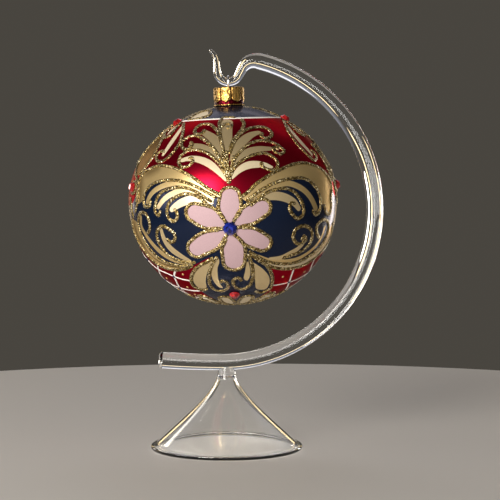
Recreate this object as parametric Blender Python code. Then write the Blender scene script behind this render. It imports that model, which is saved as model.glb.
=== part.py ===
"""Painted hollow glass ball hanging from the hook of a clear glass rod stand on a flared glass foot.

Metres, +Z up. The front of the ball faces -Y, the arm swings round its right side (+X), and
the origin is on the table under the middle of the whole outline.
"""

import math

import bmesh
import bpy
import numpy as np
from mathutils import Matrix, Vector

# Fit between separate pieces
PIECE_GAP = 0.0003

# Ball of blown glass, round below the equator and a little flattened above it
BALL_RADIUS = 0.0500
BALL_TOP_RISE = 0.0458
BALL_BOTTOM_DROP = 0.0495
BALL_SHOULDER_DROP = 0.0010
BALL_WALL = 0.0010
BALL_COLUMNS = 48
BALL_ROWS = 25
BALL_LEAN = math.radians(2.2)

# Short open neck of the ball, hidden by the cap
NECK_RADIUS = 0.0053
NECK_WALL = 0.0010
NECK_FILLET = 0.0014

# Crown cap of thin sheet with panels pointed at their lower ends
CAP_RADIUS = 0.0073
CAP_HEIGHT = 0.0088
CAP_WALL = 0.0005
CAP_PANELS = 8
CAP_PANEL_RAISE = 0.0003
CAP_GROOVE_HALF = math.radians(3.5)
CAP_PANEL_TURN = math.radians(10.5)
CAP_CORNER_FROM_TOP = 0.0058
CAP_POINT_DROP = 0.0016
CAP_SHOULDER = 0.0006
CAP_RIM_HEIGHT = 0.0006

# Wire loop that joins the cap to the hook
WIRE_DIAMETER = 0.0009
WIRE_HOLE_ROOM = 0.00035
WIRE_TAIL = 0.0040
WIRE_SIDES = 8

# Glass rod: nearly straight tail, big arm, crest, hook and flared tip, in order
ROD_DIAMETER = 0.0082
ROD_SIDES = 16
ARM_SIDE_ROOM = 0.0192
ARM_SWEEP = math.radians(166.0)
ARM_OFFSET_X = -0.0022
TAIL_RADIUS = 0.4100
TAIL_LENGTH = 0.0305
TAIL_EDGE_ROUND = 0.0016
CREST_RADIUS = 0.0073
CREST_SWEEP = math.radians(76.0)
CREST_END_DIAMETER = 0.0056
DROP_LENGTH = 0.0038
DROP_END_DIAMETER = 0.0048
HOOK_RADIUS = 0.0053
HOOK_CLIMB = math.radians(85.0)
HOOK_DIAMETER = 0.0041
HOOK_CAP_ROOM = 0.0005
RISE_LENGTH = 0.0046
RISE_END_DIAMETER = 0.0035
TIP_RADIUS = 0.0081
TIP_SWEEP = math.radians(44.0)
TIP_DIAMETER = 0.0018

# Hollow foot, a flared cone of thin glass with a rolled rim, open below
FOOT_RADIUS = 0.0366
FOOT_HEIGHT = 0.0376
FOOT_WALL = 0.0012
FOOT_RIM_BEAD = 0.0012
FOOT_RIM_FLAT = 0.0008
FOOT_NECK_RADIUS = 0.0042
FOOT_SLOPE_RUN = 0.0120
FOOT_NECK_RUN = 0.0106
FOOT_PLUG = 0.0022
FOOT_COLUMNS = 40
FOOT_ROWS = 10
WELD_DEPTH = 0.0029

# Cut stones laid on the painting
BLUE_GEM_DIAMETER = 0.0061
RED_GEM_DIAMETER = 0.0050
GEM_HEIGHT_SHARE = 0.34
GEM_GIRDLE_SHARE = 0.25
GEM_TABLE_SHARE = 0.55
GEM_SIDES = 12
FLOWER_TURN = math.radians(-1.5)
FLOWER_HEIGHT = -0.0115
LOW_GEM_HEIGHT = -0.0428
LEFT_GEM_TURN = math.radians(-70.0)
LEFT_GEM_HEIGHT = 0.0084
RIGHT_GEM_TURN = math.radians(84.0)
RIGHT_GEM_HEIGHT = 0.0060
TOP_LEFT_GEM_TURN = math.radians(-65.0)
TOP_RIGHT_GEM_TURN = math.radians(75.0)
TOP_GEM_HEIGHT = 0.0378

# Sizes that follow from those above
ARM_RADIUS = BALL_RADIUS + ARM_SIDE_ROOM + ROD_DIAMETER / 2
ARM_BOTTOM_HEIGHT = FOOT_HEIGHT + ROD_DIAMETER / 2
HOOK_FALL = ARM_SWEEP + CREST_SWEEP - math.pi
LOOP_RADIUS = HOOK_DIAMETER / 2 + PIECE_GAP + WIRE_DIAMETER / 2


def clear_scene():
    """Remove whatever objects the file holds."""
    for item in list(bpy.data.objects):
        bpy.data.objects.remove(item, do_unlink=True)


def material(name, colour, roughness, metallic=0.0, transmission=0.0, coat=0.0):
    """Principled material with the look of one piece."""
    made = bpy.data.materials.new(name)
    made.use_nodes = True
    shader = made.node_tree.nodes["Principled BSDF"]
    shader.inputs["Base Color"].default_value = (*colour, 1.0)
    shader.inputs["Roughness"].default_value = roughness
    shader.inputs["Metallic"].default_value = metallic
    shader.inputs["Transmission Weight"].default_value = transmission
    shader.inputs["Coat Weight"].default_value = coat
    made.diffuse_color = (*colour, 1.0)
    return made


def mesh_object(name, points, faces, look, smooth=True):
    """Closed mesh object with its faces turned outward."""
    data = bpy.data.meshes.new(name)
    data.from_pydata([tuple(float(c) for c in p) for p in points], [], faces)
    shell = bmesh.new()
    shell.from_mesh(data)
    bmesh.ops.recalc_face_normals(shell, faces=shell.faces[:])
    shell.to_mesh(data)
    shell.free()
    data.materials.append(look)
    for polygon in data.polygons:
        polygon.use_smooth = smooth
    made = bpy.data.objects.new(name, data)
    bpy.context.scene.collection.objects.link(made)
    return made


def skin(rings):
    """Points and faces that join a run of rings of equal count, closed by a flat face at each end.

    A ring of one point is a pole.
    """
    points = []
    faces = []
    before = None
    for ring in rings:
        first = len(points)
        points.extend(ring)
        here = list(range(first, first + len(ring)))
        if before is None:
            if len(here) > 1:
                faces.append(here[::-1])
        else:
            count = max(len(before), len(here))
            for k in range(count):
                a = before[k % len(before)]
                b = before[(k + 1) % len(before)]
                c = here[(k + 1) % len(here)]
                d = here[k % len(here)]
                corners = [a, b, c, d]
                faces.append([v for n, v in enumerate(corners) if v not in corners[:n]])
        before = here
    if len(before) > 1:
        faces.append(before)
    return points, faces


def turned(name, profile, columns, look):
    """Solid of revolution about Z from (radius, height) pairs; a radius of zero is a pole."""
    turn = np.arange(columns) * 2 * math.pi / columns
    rings = []
    for radius, height in profile:
        if radius <= 0:
            rings.append([(0.0, 0.0, height)])
        else:
            rings.append([(radius * math.cos(a), radius * math.sin(a), height) for a in turn])
    return mesh_object(name, *skin(rings), look)


def combine(target, other, operation):
    """Join another mesh into the target, or cut it out of it, and remove the other object."""
    other.hide_render = True
    other.display_type = "WIRE"
    change = target.modifiers.new(operation.lower(), "BOOLEAN")
    change.operation = operation
    change.solver = "EXACT"
    change.object = other
    with bpy.context.temp_override(object=target, active_object=target):
        bpy.ops.object.modifier_apply(modifier=change.name)
    bpy.data.objects.remove(other, do_unlink=True)


# Rod of the stand

def arc(start, heading, radius, sweep, steps):
    """Points and headings along an arc in the XZ plane after its start; a positive sweep turns left."""
    side = 1 if sweep > 0 else -1
    centre = start + side * radius * np.array([-math.sin(heading), math.cos(heading)])
    angles = heading + sweep * np.arange(1, steps + 1) / steps
    points = centre + side * radius * np.stack([np.sin(angles), -np.cos(angles)], axis=1)
    return points, angles


def straight(start, heading, length, steps):
    """Points and headings along a straight run in the XZ plane after its start."""
    along = length * np.arange(1, steps + 1) / steps
    points = start + along[:, None] * np.array([math.cos(heading), math.sin(heading)])
    return points, np.full(steps, heading)


def rod_line():
    """Centre line of the rod from the tail end to the tip: points, headings and diameters.

    The place of the hook's lowest point in the run comes last.
    """
    lowest = np.array([ARM_OFFSET_X, ARM_BOTTOM_HEIGHT])
    tail_sweep = TAIL_LENGTH / TAIL_RADIUS
    tail_points, tail_headings = arc(lowest, math.pi, TAIL_RADIUS, -tail_sweep, 4)
    points = [tail_points[::-1], lowest[None, :]]
    headings = [tail_headings[::-1] - math.pi, np.zeros(1)]
    diameters = [np.full(5, ROD_DIAMETER)]
    runs = [
        ("arc", ARM_RADIUS, ARM_SWEEP, 40, ROD_DIAMETER),
        ("arc", CREST_RADIUS, CREST_SWEEP, 7, CREST_END_DIAMETER),
        ("straight", DROP_LENGTH, 0.0, 1, DROP_END_DIAMETER),
        ("arc", HOOK_RADIUS, -HOOK_FALL, 5, HOOK_DIAMETER),
        ("arc", HOOK_RADIUS, -HOOK_CLIMB, 6, HOOK_DIAMETER),
        ("straight", RISE_LENGTH, 0.0, 2, RISE_END_DIAMETER),
        ("arc", TIP_RADIUS, TIP_SWEEP, 3, TIP_DIAMETER),
    ]
    here = lowest
    heading = 0.0
    before = ROD_DIAMETER
    for kind, size, sweep, steps, after in runs:
        if kind == "arc":
            run_points, run_headings = arc(here, heading, size, sweep, steps)
        else:
            run_points, run_headings = straight(here, heading, size, steps)
        share = np.arange(1, steps + 1) / steps
        points.append(run_points)
        headings.append(run_headings)
        diameters.append(before + (after - before) * share)
        here = run_points[-1]
        heading = run_headings[-1]
        before = after
    lowest_in_hook = sum(len(run) for run in points[:6]) - 1
    return np.concatenate(points), np.concatenate(headings), np.concatenate(diameters), lowest_in_hook


def round_end(point, heading, radius, edge, steps, outward):
    """Rings that round off the end of a rod by an edge radius, ending in a flat face or a pole."""
    ahead = outward * np.array([math.cos(heading), math.sin(heading)])
    rings = []
    for k in range(1, steps + 1):
        turn = k * math.pi / 2 / steps
        ring_radius = radius - edge * (1 - math.cos(turn))
        rings.append((point + ahead * edge * math.sin(turn), heading, ring_radius))
    return rings


def rod_ring(point, heading, radius):
    """One ring of the rod, square to its heading."""
    if radius < 1e-6:
        return [(point[0], 0.0, point[1])]
    ring = []
    for k in range(ROD_SIDES):
        turn = k * 2 * math.pi / ROD_SIDES
        out = radius * math.cos(turn)
        ring.append((
            point[0] + out * math.sin(heading),
            radius * math.sin(turn),
            point[1] - out * math.cos(heading),
        ))
    return ring


def glass_rod(look):
    """The bent rod with both ends fire-rounded."""
    points, headings, diameters, _ = rod_line()
    points[0] += TAIL_EDGE_ROUND * np.array([math.cos(headings[0]), math.sin(headings[0])])
    tail = round_end(points[0], headings[0], diameters[0] / 2, TAIL_EDGE_ROUND, 3, -1)
    tip = round_end(points[-1], headings[-1], diameters[-1] / 2, diameters[-1] / 2, 3, 1)
    stations = tail[::-1]
    stations += list(zip(points, headings, diameters / 2))
    stations += tip
    return mesh_object("glass_stand", *skin([rod_ring(*s) for s in stations]), look)


# Foot of the stand

def foot_curve(share):
    """Outer flare of the foot from the rim (0) to the neck (1): a cubic curve in radius and height."""
    rim = FOOT_RADIUS - FOOT_RIM_BEAD
    radii = np.array([rim, rim - FOOT_SLOPE_RUN, FOOT_NECK_RADIUS, FOOT_NECK_RADIUS])
    heights = np.array([
        FOOT_RIM_BEAD, FOOT_RIM_BEAD + FOOT_SLOPE_RUN, FOOT_HEIGHT - FOOT_NECK_RUN, FOOT_HEIGHT,
    ])
    left = 1 - share
    weights = np.stack([left**3, 3 * left**2 * share, 3 * left * share**2, share**3], axis=-1)
    return weights @ radii, weights @ heights


def foot_profile():
    """Closed section of the hollow foot, from the pole inside the rod round the rim to the cavity's top."""
    share = np.linspace(1.0, 0.045, FOOT_ROWS)
    outer_r, outer_z = foot_curve(share)
    profile = [
        (0.0, FOOT_HEIGHT + WELD_DEPTH),
        (FOOT_NECK_RADIUS * 0.70, FOOT_HEIGHT + WELD_DEPTH),
        (FOOT_NECK_RADIUS * 0.95, FOOT_HEIGHT + WELD_DEPTH * 0.5),
    ]
    profile += list(zip(outer_r, outer_z))
    rim_r = FOOT_RADIUS - FOOT_RIM_BEAD
    for degrees in (90, 45, 0, -45):
        turn = math.radians(degrees)
        profile.append((rim_r + FOOT_RIM_BEAD * math.cos(turn), FOOT_RIM_BEAD * (1 + math.sin(turn))))
    profile.append((rim_r + FOOT_RIM_FLAT / 2, 0.0))
    profile.append((rim_r - FOOT_RIM_FLAT / 2, 0.0))
    step = 0.001
    near_r, near_z = foot_curve(share - step)
    far_r, far_z = foot_curve(share + step)
    along_r = far_r - near_r
    along_z = far_z - near_z
    length = np.hypot(along_r, along_z)
    inner_r = outer_r - FOOT_WALL * along_z / length
    inner_z = outer_z + FOOT_WALL * along_r / length
    ceiling = FOOT_HEIGHT - FOOT_PLUG
    dome_start = ceiling - 0.6 * inner_r[0]
    for radius, height in list(zip(inner_r, inner_z))[::-1]:
        if height < dome_start - 0.0005:
            profile.append((radius, height))
    dome_r = float(np.interp(dome_start, inner_z[::-1], inner_r[::-1]))
    for degrees in (0, 35, 65):
        turn = math.radians(degrees)
        rise = (ceiling - dome_start) * math.sin(turn)
        profile.append((dome_r * math.cos(turn) ** 0.7, dome_start + rise))
    profile.append((0.0, ceiling))
    return profile


def glass_stand():
    """Arm, hook and foot melted into one piece of clear glass."""
    clear = material("clear_glass", (0.97, 0.98, 0.97), 0.02, transmission=1.0)
    stand = glass_rod(clear)
    foot = turned("foot", foot_profile(), FOOT_COLUMNS, clear)
    combine(stand, foot, "UNION")
    return stand


# Ball

def ball_section(angle, inset=0.0):
    """Radius and height of the ball's section at an angle from its top, a wall's depth inside."""
    radius = (BALL_RADIUS - inset) * np.sin(angle)
    upper = (BALL_TOP_RISE - inset) * np.cos(angle) - BALL_SHOULDER_DROP * np.sin(2 * angle) ** 2
    lower = (BALL_BOTTOM_DROP - inset) * np.cos(angle)
    return radius, np.where(np.cos(angle) > 0, upper, lower)


def ball_height(radius):
    """Height of the top of the ball at a small radius."""
    return float(ball_section(math.asin(radius / BALL_RADIUS))[1])


def cap_bottom():
    """Height of the cap's lower edge above the ball's centre."""
    return ball_height(CAP_RADIUS - CAP_WALL) + PIECE_GAP


def neck_top():
    """Height of the neck's lip, just under the cap's sheet."""
    return cap_bottom() + CAP_HEIGHT - CAP_WALL - PIECE_GAP


def hang_height():
    """Height of the hook's centre line above the ball's centre."""
    return cap_bottom() + CAP_HEIGHT + HOOK_CAP_ROOM + HOOK_DIAMETER / 2


def glass_ball():
    """Hollow ball with its open neck."""
    lacquer = material("painted_glass", (0.62, 0.03, 0.06), 0.25, metallic=0.3, coat=0.5)
    top = neck_top()
    foot_of_neck = math.asin((NECK_RADIUS + NECK_FILLET) / BALL_RADIUS)
    base = float(ball_section(foot_of_neck)[1])
    outer = [(0.0, top), (NECK_RADIUS, top), (NECK_RADIUS, base + NECK_FILLET)]
    outer.append((NECK_RADIUS + 0.3 * NECK_FILLET, base + 0.35 * NECK_FILLET))
    for angle in np.linspace(foot_of_neck, math.pi, BALL_ROWS + 1)[:-1]:
        outer.append(tuple(ball_section(angle)))
    outer.append((0.0, -BALL_BOTTOM_DROP))
    ball = turned("glass_ball", outer, BALL_COLUMNS, lacquer)
    bore = NECK_RADIUS - NECK_WALL
    bore_angle = math.asin(bore / (BALL_RADIUS - BALL_WALL))
    inner = [(0.0, top + 2 * BALL_WALL), (bore, top + 2 * BALL_WALL)]
    rows = BALL_ROWS * 3 // 5
    for angle in np.linspace(bore_angle, math.pi, rows + 1)[:-1]:
        inner.append(tuple(ball_section(angle, BALL_WALL)))
    inner.append((0.0, BALL_WALL - BALL_BOTTOM_DROP))
    hollow = turned("hollow", inner, BALL_COLUMNS * 2 // 3, lacquer)
    combine(ball, hollow, "DIFFERENCE")
    return ball


# Cap and loop

def cap_columns():
    """Angles round the cap with the raise of each column and its place across its panel (0 to 1)."""
    pitch = 2 * math.pi / CAP_PANELS
    for panel in range(CAP_PANELS):
        start = CAP_PANEL_TURN + panel * pitch
        yield start, 0.0, 1.0
        yield start + CAP_GROOVE_HALF, 1.0, 1.0
        yield start + pitch / 2, 1.0, 0.0
        yield start + pitch - CAP_GROOVE_HALF, 1.0, 1.0


def crown_cap():
    """Thin cap with raised panels, each ending below in a point, and holes for the wire."""
    gold = material("gold_sheet", (0.83, 0.58, 0.22), 0.18, metallic=1.0)
    bottom = cap_bottom()
    top = bottom + CAP_HEIGHT
    base = CAP_RADIUS - CAP_PANEL_RAISE
    columns = list(cap_columns())

    def ring(radius_of, height_of):
        made = []
        for angle, raised, edge in columns:
            radius = radius_of(raised)
            made.append((radius * math.cos(angle), radius * math.sin(angle), height_of(edge)))
        return made

    def panel_end(edge):
        return top - CAP_CORNER_FROM_TOP - CAP_POINT_DROP * (1 - edge)

    rings = [
        [(0.0, 0.0, top)],
        ring(lambda raised: base - CAP_SHOULDER, lambda edge: top),
        ring(lambda raised: base + 0.6 * CAP_PANEL_RAISE * raised, lambda edge: top - CAP_SHOULDER / 2),
        ring(lambda raised: base + CAP_PANEL_RAISE * raised, lambda edge: top - CAP_SHOULDER * 1.5),
        ring(lambda raised: base + CAP_PANEL_RAISE * raised, panel_end),
        ring(lambda raised: base, lambda edge: panel_end(edge) - CAP_PANEL_RAISE / 2),
        ring(lambda raised: base, lambda edge: bottom + CAP_RIM_HEIGHT),
        ring(lambda raised: CAP_RADIUS, lambda edge: bottom + CAP_RIM_HEIGHT * 0.6),
        ring(lambda raised: CAP_RADIUS, lambda edge: bottom),
        ring(lambda raised: base - CAP_WALL, lambda edge: bottom),
        ring(lambda raised: base - CAP_WALL, lambda edge: top - CAP_WALL - CAP_SHOULDER),
        ring(lambda raised: base - CAP_WALL - CAP_SHOULDER, lambda edge: top - CAP_WALL),
        [(0.0, 0.0, top - CAP_WALL)],
    ]
    cap = mesh_object("crown_cap", *skin(rings), gold)
    for side in (-1, 1):
        hole_radius = WIRE_DIAMETER / 2 + WIRE_HOLE_ROOM
        low = top - 3 * CAP_WALL
        high = top + 2 * CAP_WALL
        hole = turned("hole", [(hole_radius, low), (hole_radius, high)], 12, gold)
        hole.data.transform(Matrix.Translation((0.0, side * LOOP_RADIUS, 0.0)))
        combine(cap, hole, "DIFFERENCE")
    return cap


def hanger_loop():
    """Wire loop over the hook, its two legs let into the cap."""
    steel = material("silver_wire", (0.80, 0.80, 0.82), 0.15, metallic=1.0)
    middle = hang_height()
    leg_end = cap_bottom() + CAP_HEIGHT - WIRE_TAIL
    line = [(-LOOP_RADIUS, leg_end, math.pi / 2)]
    steps = 12
    for k in range(steps + 1):
        turn = math.pi * (1 - k / steps)
        line.append((LOOP_RADIUS * math.cos(turn), middle + LOOP_RADIUS * math.sin(turn), turn - math.pi / 2))
    line.append((LOOP_RADIUS, leg_end, -math.pi / 2))
    rings = []
    for y, z, heading in line:
        ring = []
        for k in range(WIRE_SIDES):
            turn = k * 2 * math.pi / WIRE_SIDES
            out = WIRE_DIAMETER / 2 * math.cos(turn)
            side = WIRE_DIAMETER / 2 * math.sin(turn)
            ring.append((side, y - out * math.sin(heading), z + out * math.cos(heading)))
        rings.append(ring)
    return mesh_object("hanger_loop", *skin(rings), steel)


# Cut stones

def gem(name, diameter, turn, height, look):
    """Flat-backed cut stone on the ball's surface at a turn from the front and a height."""
    rise = diameter * GEM_HEIGHT_SHARE
    girdle = rise * GEM_GIRDLE_SHARE
    half = diameter / 2
    angles = np.arange(GEM_SIDES) * 2 * math.pi / GEM_SIDES
    back = [(half * math.cos(a), half * math.sin(a), 0.0) for a in angles]
    widest = [(half * math.cos(a), half * math.sin(a), girdle) for a in angles]
    table_half = half * GEM_TABLE_SHARE
    table = [(table_half * math.cos(a), table_half * math.sin(a), rise) for a in angles[::2]]
    count = GEM_SIDES
    points = back + widest + table
    faces = [list(range(count))]
    for k in range(count):
        following = (k + 1) % count
        faces.append([k, following, count + following, count + k])
        corner = 2 * count + (k // 2 if k % 2 == 0 else (k // 2 + 1) % (count // 2))
        faces.append([count + k, count + following, corner])
        if k % 2 == 0:
            after = 2 * count + (k // 2 + 1) % (count // 2)
            faces.append([count + following, after, corner])
    faces.append(list(range(2 * count, 2 * count + count // 2)))
    stone = mesh_object(name, points, faces, look, smooth=False)

    lay = np.linspace(0.05, math.pi - 0.05, 2000)
    radii, heights = ball_section(lay)
    place = int(np.argmin(abs(heights - height)))
    slope = math.atan2(radii[place + 1] - radii[place - 1], heights[place - 1] - heights[place + 1])
    radius = float(radii[place])
    outward = Vector((math.cos(slope), 0.0, math.sin(slope)))
    across = Vector((0.0, 1.0, 0.0))
    upward = across.cross(outward)
    lift = PIECE_GAP + half**2 / (2 * BALL_RADIUS) * 0.2
    spot = Vector((radius, 0.0, float(heights[place]))) + outward * lift
    seat = Matrix((upward, across, outward)).transposed().to_4x4()
    stone.data.transform(Matrix.Translation(spot) @ seat)
    stone.data.transform(Matrix.Rotation(turn - math.pi / 2, 4, "Z"))
    return stone


def gem_reach(diameter, turn, height):
    """How far a stone reaches sideways from the ball's axis."""
    lay = np.linspace(0.05, math.pi - 0.05, 2000)
    radii, heights = ball_section(lay)
    radius = float(radii[int(np.argmin(abs(heights - height)))])
    return (radius + PIECE_GAP + diameter * GEM_HEIGHT_SHARE) * abs(math.sin(turn))


def gems():
    """Two blue stones in the flowers, and red ones below them, at the sides and near the top."""
    blue = material("blue_stone", (0.02, 0.04, 0.45), 0.08, coat=0.5)
    red = material("red_stone", (0.70, 0.01, 0.03), 0.08, coat=0.5)
    front, back = FLOWER_TURN, FLOWER_TURN + math.pi
    return [
        gem("blue_gem_front", BLUE_GEM_DIAMETER, front, FLOWER_HEIGHT, blue),
        gem("blue_gem_back", BLUE_GEM_DIAMETER, back, FLOWER_HEIGHT, blue),
        gem("red_gem_low_front", RED_GEM_DIAMETER, front, LOW_GEM_HEIGHT, red),
        gem("red_gem_low_back", RED_GEM_DIAMETER, back, LOW_GEM_HEIGHT, red),
        gem("red_gem_right", RED_GEM_DIAMETER, RIGHT_GEM_TURN, RIGHT_GEM_HEIGHT, red),
        gem("red_gem_left", RED_GEM_DIAMETER, LEFT_GEM_TURN, LEFT_GEM_HEIGHT, red),
        gem("red_gem_top_right", RED_GEM_DIAMETER, TOP_RIGHT_GEM_TURN, TOP_GEM_HEIGHT, red),
        gem("red_gem_top_left", RED_GEM_DIAMETER, TOP_LEFT_GEM_TURN, TOP_GEM_HEIGHT, red),
    ]


def main():
    """Build the stand and the hanging ball and set both about the origin."""
    clear_scene()
    stand = glass_stand()
    points, _, _, lowest_in_hook = rod_line()
    low_point = points[lowest_in_hook]
    drop = hang_height()
    ball_x = low_point[0] + drop * math.sin(BALL_LEAN)
    gem_side = gem_reach(RED_GEM_DIAMETER, LEFT_GEM_TURN, LEFT_GEM_HEIGHT)
    left_end = ball_x - max(BALL_RADIUS, gem_side)
    right_end = ARM_OFFSET_X + ARM_RADIUS + ROD_DIAMETER / 2
    middle = (left_end + right_end) / 2
    stand.location.x = -middle

    hang = bpy.data.objects.new("hang_point", None)
    bpy.context.scene.collection.objects.link(hang)
    hang.location = (low_point[0] - middle, 0.0, low_point[1])
    hang.rotation_euler.y = -BALL_LEAN
    for piece in [glass_ball(), crown_cap(), hanger_loop(), *gems()]:
        piece.parent = hang
        piece.location.z = -drop


main()
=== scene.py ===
"""Looks of the hanging ornament: painted glass ball, gold cap, cut stones and clear glass stand.

Metres, +Z up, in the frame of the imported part. The front of the ball faces -Y. Places on the ball
are given as a turn from the front (positive to the right) and a fall from the top, in degrees.
"""

import math

import bpy
import numpy as np
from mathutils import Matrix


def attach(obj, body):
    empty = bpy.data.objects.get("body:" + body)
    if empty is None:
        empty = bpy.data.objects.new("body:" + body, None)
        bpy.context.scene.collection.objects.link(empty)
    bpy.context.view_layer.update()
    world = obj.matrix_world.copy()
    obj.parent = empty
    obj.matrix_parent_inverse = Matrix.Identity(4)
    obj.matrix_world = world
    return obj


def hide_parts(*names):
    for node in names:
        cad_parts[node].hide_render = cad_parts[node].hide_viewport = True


bl_info = {
    "name": "Hanging ornament on a glass stand",
    "version": (1, 0, 0),
    "blender": (4, 5, 0),
    "location": "3D View > Sidebar > Ornament",
    "description": "Dresses the packed ornament and its glass stand",
    "category": "Add Mesh",
}

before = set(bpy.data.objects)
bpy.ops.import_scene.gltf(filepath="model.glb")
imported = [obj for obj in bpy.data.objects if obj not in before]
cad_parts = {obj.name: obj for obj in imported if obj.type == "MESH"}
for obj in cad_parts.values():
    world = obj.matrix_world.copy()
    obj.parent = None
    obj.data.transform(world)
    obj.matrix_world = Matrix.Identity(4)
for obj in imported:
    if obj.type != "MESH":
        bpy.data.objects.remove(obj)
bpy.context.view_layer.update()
BODY = "root"
MM = 0.001

# Ball and the point that it hangs from
BALL_RADIUS = 0.04995
BALL_TOP_RISE = 0.0458
BALL_BOTTOM_DROP = 0.0495
BALL_SHOULDER_DROP = 0.0010
BALL_LEAN = math.radians(2.2)
NECK_RADIUS = 0.0053
NECK_FILLET = 0.0014
HANG_POINT = np.array([-0.0132643, 0.0, 0.1762997])
HANG_HEIGHT = 0.056952
CAP_BOTTOM = 0.045600
BALL_COLUMNS = 416
BALL_ROWS = 222

# Painting; the falls are in degrees from the top of the ball
RING_FALL = 30.4
TRELLIS_END = 156.5
GLITTER_WIDTH = 1.75 * MM
GLITTER_HEIGHT = 0.50 * MM
GLITTER_STEP = 0.42 * MM
GLITTER_GRAIN = 0.085 * MM
LINE_WIDTH = 1.05 * MM
RING_WIDTH = 1.30 * MM
LINE_HEIGHT = 0.16 * MM
FACINGS = (0.0, 180.0)
FAR_OFF = -4.0
MM_A_DEGREE = 0.87
GLITTER_SIDES = 9
LINE_SIDES = 7
PAINTED_SHEEN_SHARE = 0.45
PAINTED_SHADE_SHARE = 0.72
PAINTED_SHADE_SOFTNESS = 2.8


def spots(*tenths):
    """(turn, fall) spots in degrees from a flat row of their tenths."""
    return [(turn / 10, fall / 10) for turn, fall in zip(tenths[::2], tenths[1::2])]


GOLD_STROKES = {
    "fan_left_1": ((1.2, 4.8, 3.4), spots(-25, 643, -56, 566, -118, 481, -201, 429)),
    "fan_left_2": ((1.2, 3.6, 2.9), spots(-36, 694, -77, 624, -138, 566, -204, 538, -264, 531)),
    "fan_left_3": ((1.2, 3.8, 2.2), spots(-26, 768, -69, 711, -122, 661, -192, 629, -264, 622, -296, 631)),
    "fan_middle": ((1.2, 4.8, 6.0), spots(-22, 623, -18, 554, -18, 462, -25, 350)),
    "fan_right_1": ((1.4, 4.6, 2.2), spots(4, 644, 38, 570, 90, 510, 157, 465, 226, 446)),
    "fan_right_2": ((1.2, 3.8, 2.4), spots(13, 702, 50, 639, 109, 591, 189, 573, 256, 575)),
    "fan_right_3": ((1.2, 4.1, 1.4), spots(6, 757, 46, 710, 98, 681, 156, 677, 202, 685, 235, 699)),
    "arch_left_2": ((1.4, 2.9, 2.4), spots(
        -91, 864, -149, 833, -211, 802, -284, 773, -361, 779, -438, 804, -491, 841, -517, 881)),
    "arch_left_3": ((1.4, 2.9, 2.2), spots(
        -102, 881, -160, 850, -210, 825, -274, 820, -330, 836, -383, 866, -427, 910)),
    "arch_left_4": ((1.4, 4.1, 2.4), spots(
        -103, 898, -150, 876, -199, 871, -250, 881, -299, 902, -335, 925)),
    "arch_right_2": ((1.4, 3.1, 2.9), spots(
        95, 883, 160, 846, 235, 815, 308, 800, 377, 821, 429, 855, 470, 900, 504, 949)),
    "arch_right_3": ((1.4, 4.3, 2.4), spots(
        94, 910, 136, 891, 191, 873, 253, 873, 306, 890, 349, 916, 375, 946)),
    "scroll_left_1": ((1.9, 2.9, 1.4), spots(
        -596, 963, -610, 1012, -587, 1057, -551, 1105, -504, 1156, -433, 1202, -350, 1228, -269, 1231)),
    "scroll_left_2": ((1.9, 3.4, 1.4), spots(-428, 1034, -423, 1087, -398, 1137, -349, 1180, -285, 1218)),
    "scroll_left_3": ((1.4, 1.9, 1.4), spots(
        -733, 1020, -719, 1082, -672, 1147, -599, 1208, -501, 1249, -385, 1258)),
    "scroll_right_1": ((1.4, 2.2, 1.4), spots(
        623, 1057, 618, 1114, 582, 1165, 523, 1204, 438, 1237, 335, 1246, 229, 1233, 145, 1200)),
    "scroll_right_2": ((1.7, 2.6, 1.2), spots(
        434, 1098, 446, 1133, 419, 1167, 367, 1194, 302, 1219, 226, 1220)),
    "scroll_right_3": ((1.4, 2.2, 1.4), spots(
        777, 1093, 744, 1162, 671, 1213, 580, 1252, 468, 1279, 352, 1281, 243, 1257, 147, 1216)),
}

# Filled gold areas: closed outlines, and pairs of glitter lines with gold between them
GOLD_PATCHES = {
    "low_left_1": spots(
        -117, 1201, -165, 1225, -219, 1254, -277, 1293, -322, 1335, -352, 1382, -351, 1424, -296, 1435,
        -264, 1424, -239, 1373, -206, 1319, -166, 1262, -136, 1226),
    "low_left_2": spots(
        -94, 1205, -93, 1227, -111, 1264, -122, 1312, -128, 1365, -122, 1405, -111, 1432, -144, 1425,
        -166, 1383, -171, 1337, -162, 1294, -143, 1255, -113, 1219),
    "low_right_1": spots(
        95, 1220, 125, 1243, 176, 1276, 221, 1311, 267, 1356, 302, 1416, 306, 1460, 251, 1467, 195, 1452,
        164, 1397, 147, 1349, 130, 1306, 113, 1265),
    "low_right_2": spots(81, 1219, 98, 1264, 108, 1304, 108, 1347, 94, 1374, 67, 1358, 71, 1303, 75, 1256),
    "crown_left": spots(-525, 285, -520, 226, -451, 190, -355, 197, -283, 258, -346, 279, -452, 290),
}
GOLD_BETWEEN = [
    ("arch_left_1", 0, "arch_left_2", 0, 10), ("arch_right_1", 0, "arch_right_2", 0, 13),
    ("scroll_left_3", 0, "scroll_left_1", 6, 14), ("scroll_right_3", 0, "scroll_right_1", 6, 15),
]

# Strokes given a painted sheen: a paler gold where they look brighter for the light they catch
PAINTED_SHEEN_STROKES = ("fan_left_1", "fan_left_2", "fan_middle", "fan_right_1", "fan_right_2", "arch_left_3",
                "arch_right_3", "scroll_left_2", "scroll_right_2")

# Middles of the painted shade, a soft brown darkening on the arches and scrolls; then dark lines in the bands
PAINTED_SHADE_LINES = [
    spots(-620, 700, -600, 780, -590, 880),
    spots(-470, 680, -560, 710),
    spots(670, 750, 670, 820, 640, 920),
    spots(-710, 990, -720, 1060, -680, 1130),
    spots(660, 1210, 740, 1150, 760, 1080),
]
OLIVE_LINES = [
    spots(-730, 990, -710, 1070, -670, 1140, -610, 1200, -530, 1240, -440, 1258, -345, 1258, -270, 1242),
    spots(735, 1070, 715, 1140, 635, 1200, 545, 1240, 440, 1266, 330, 1268, 230, 1246),
]

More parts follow.
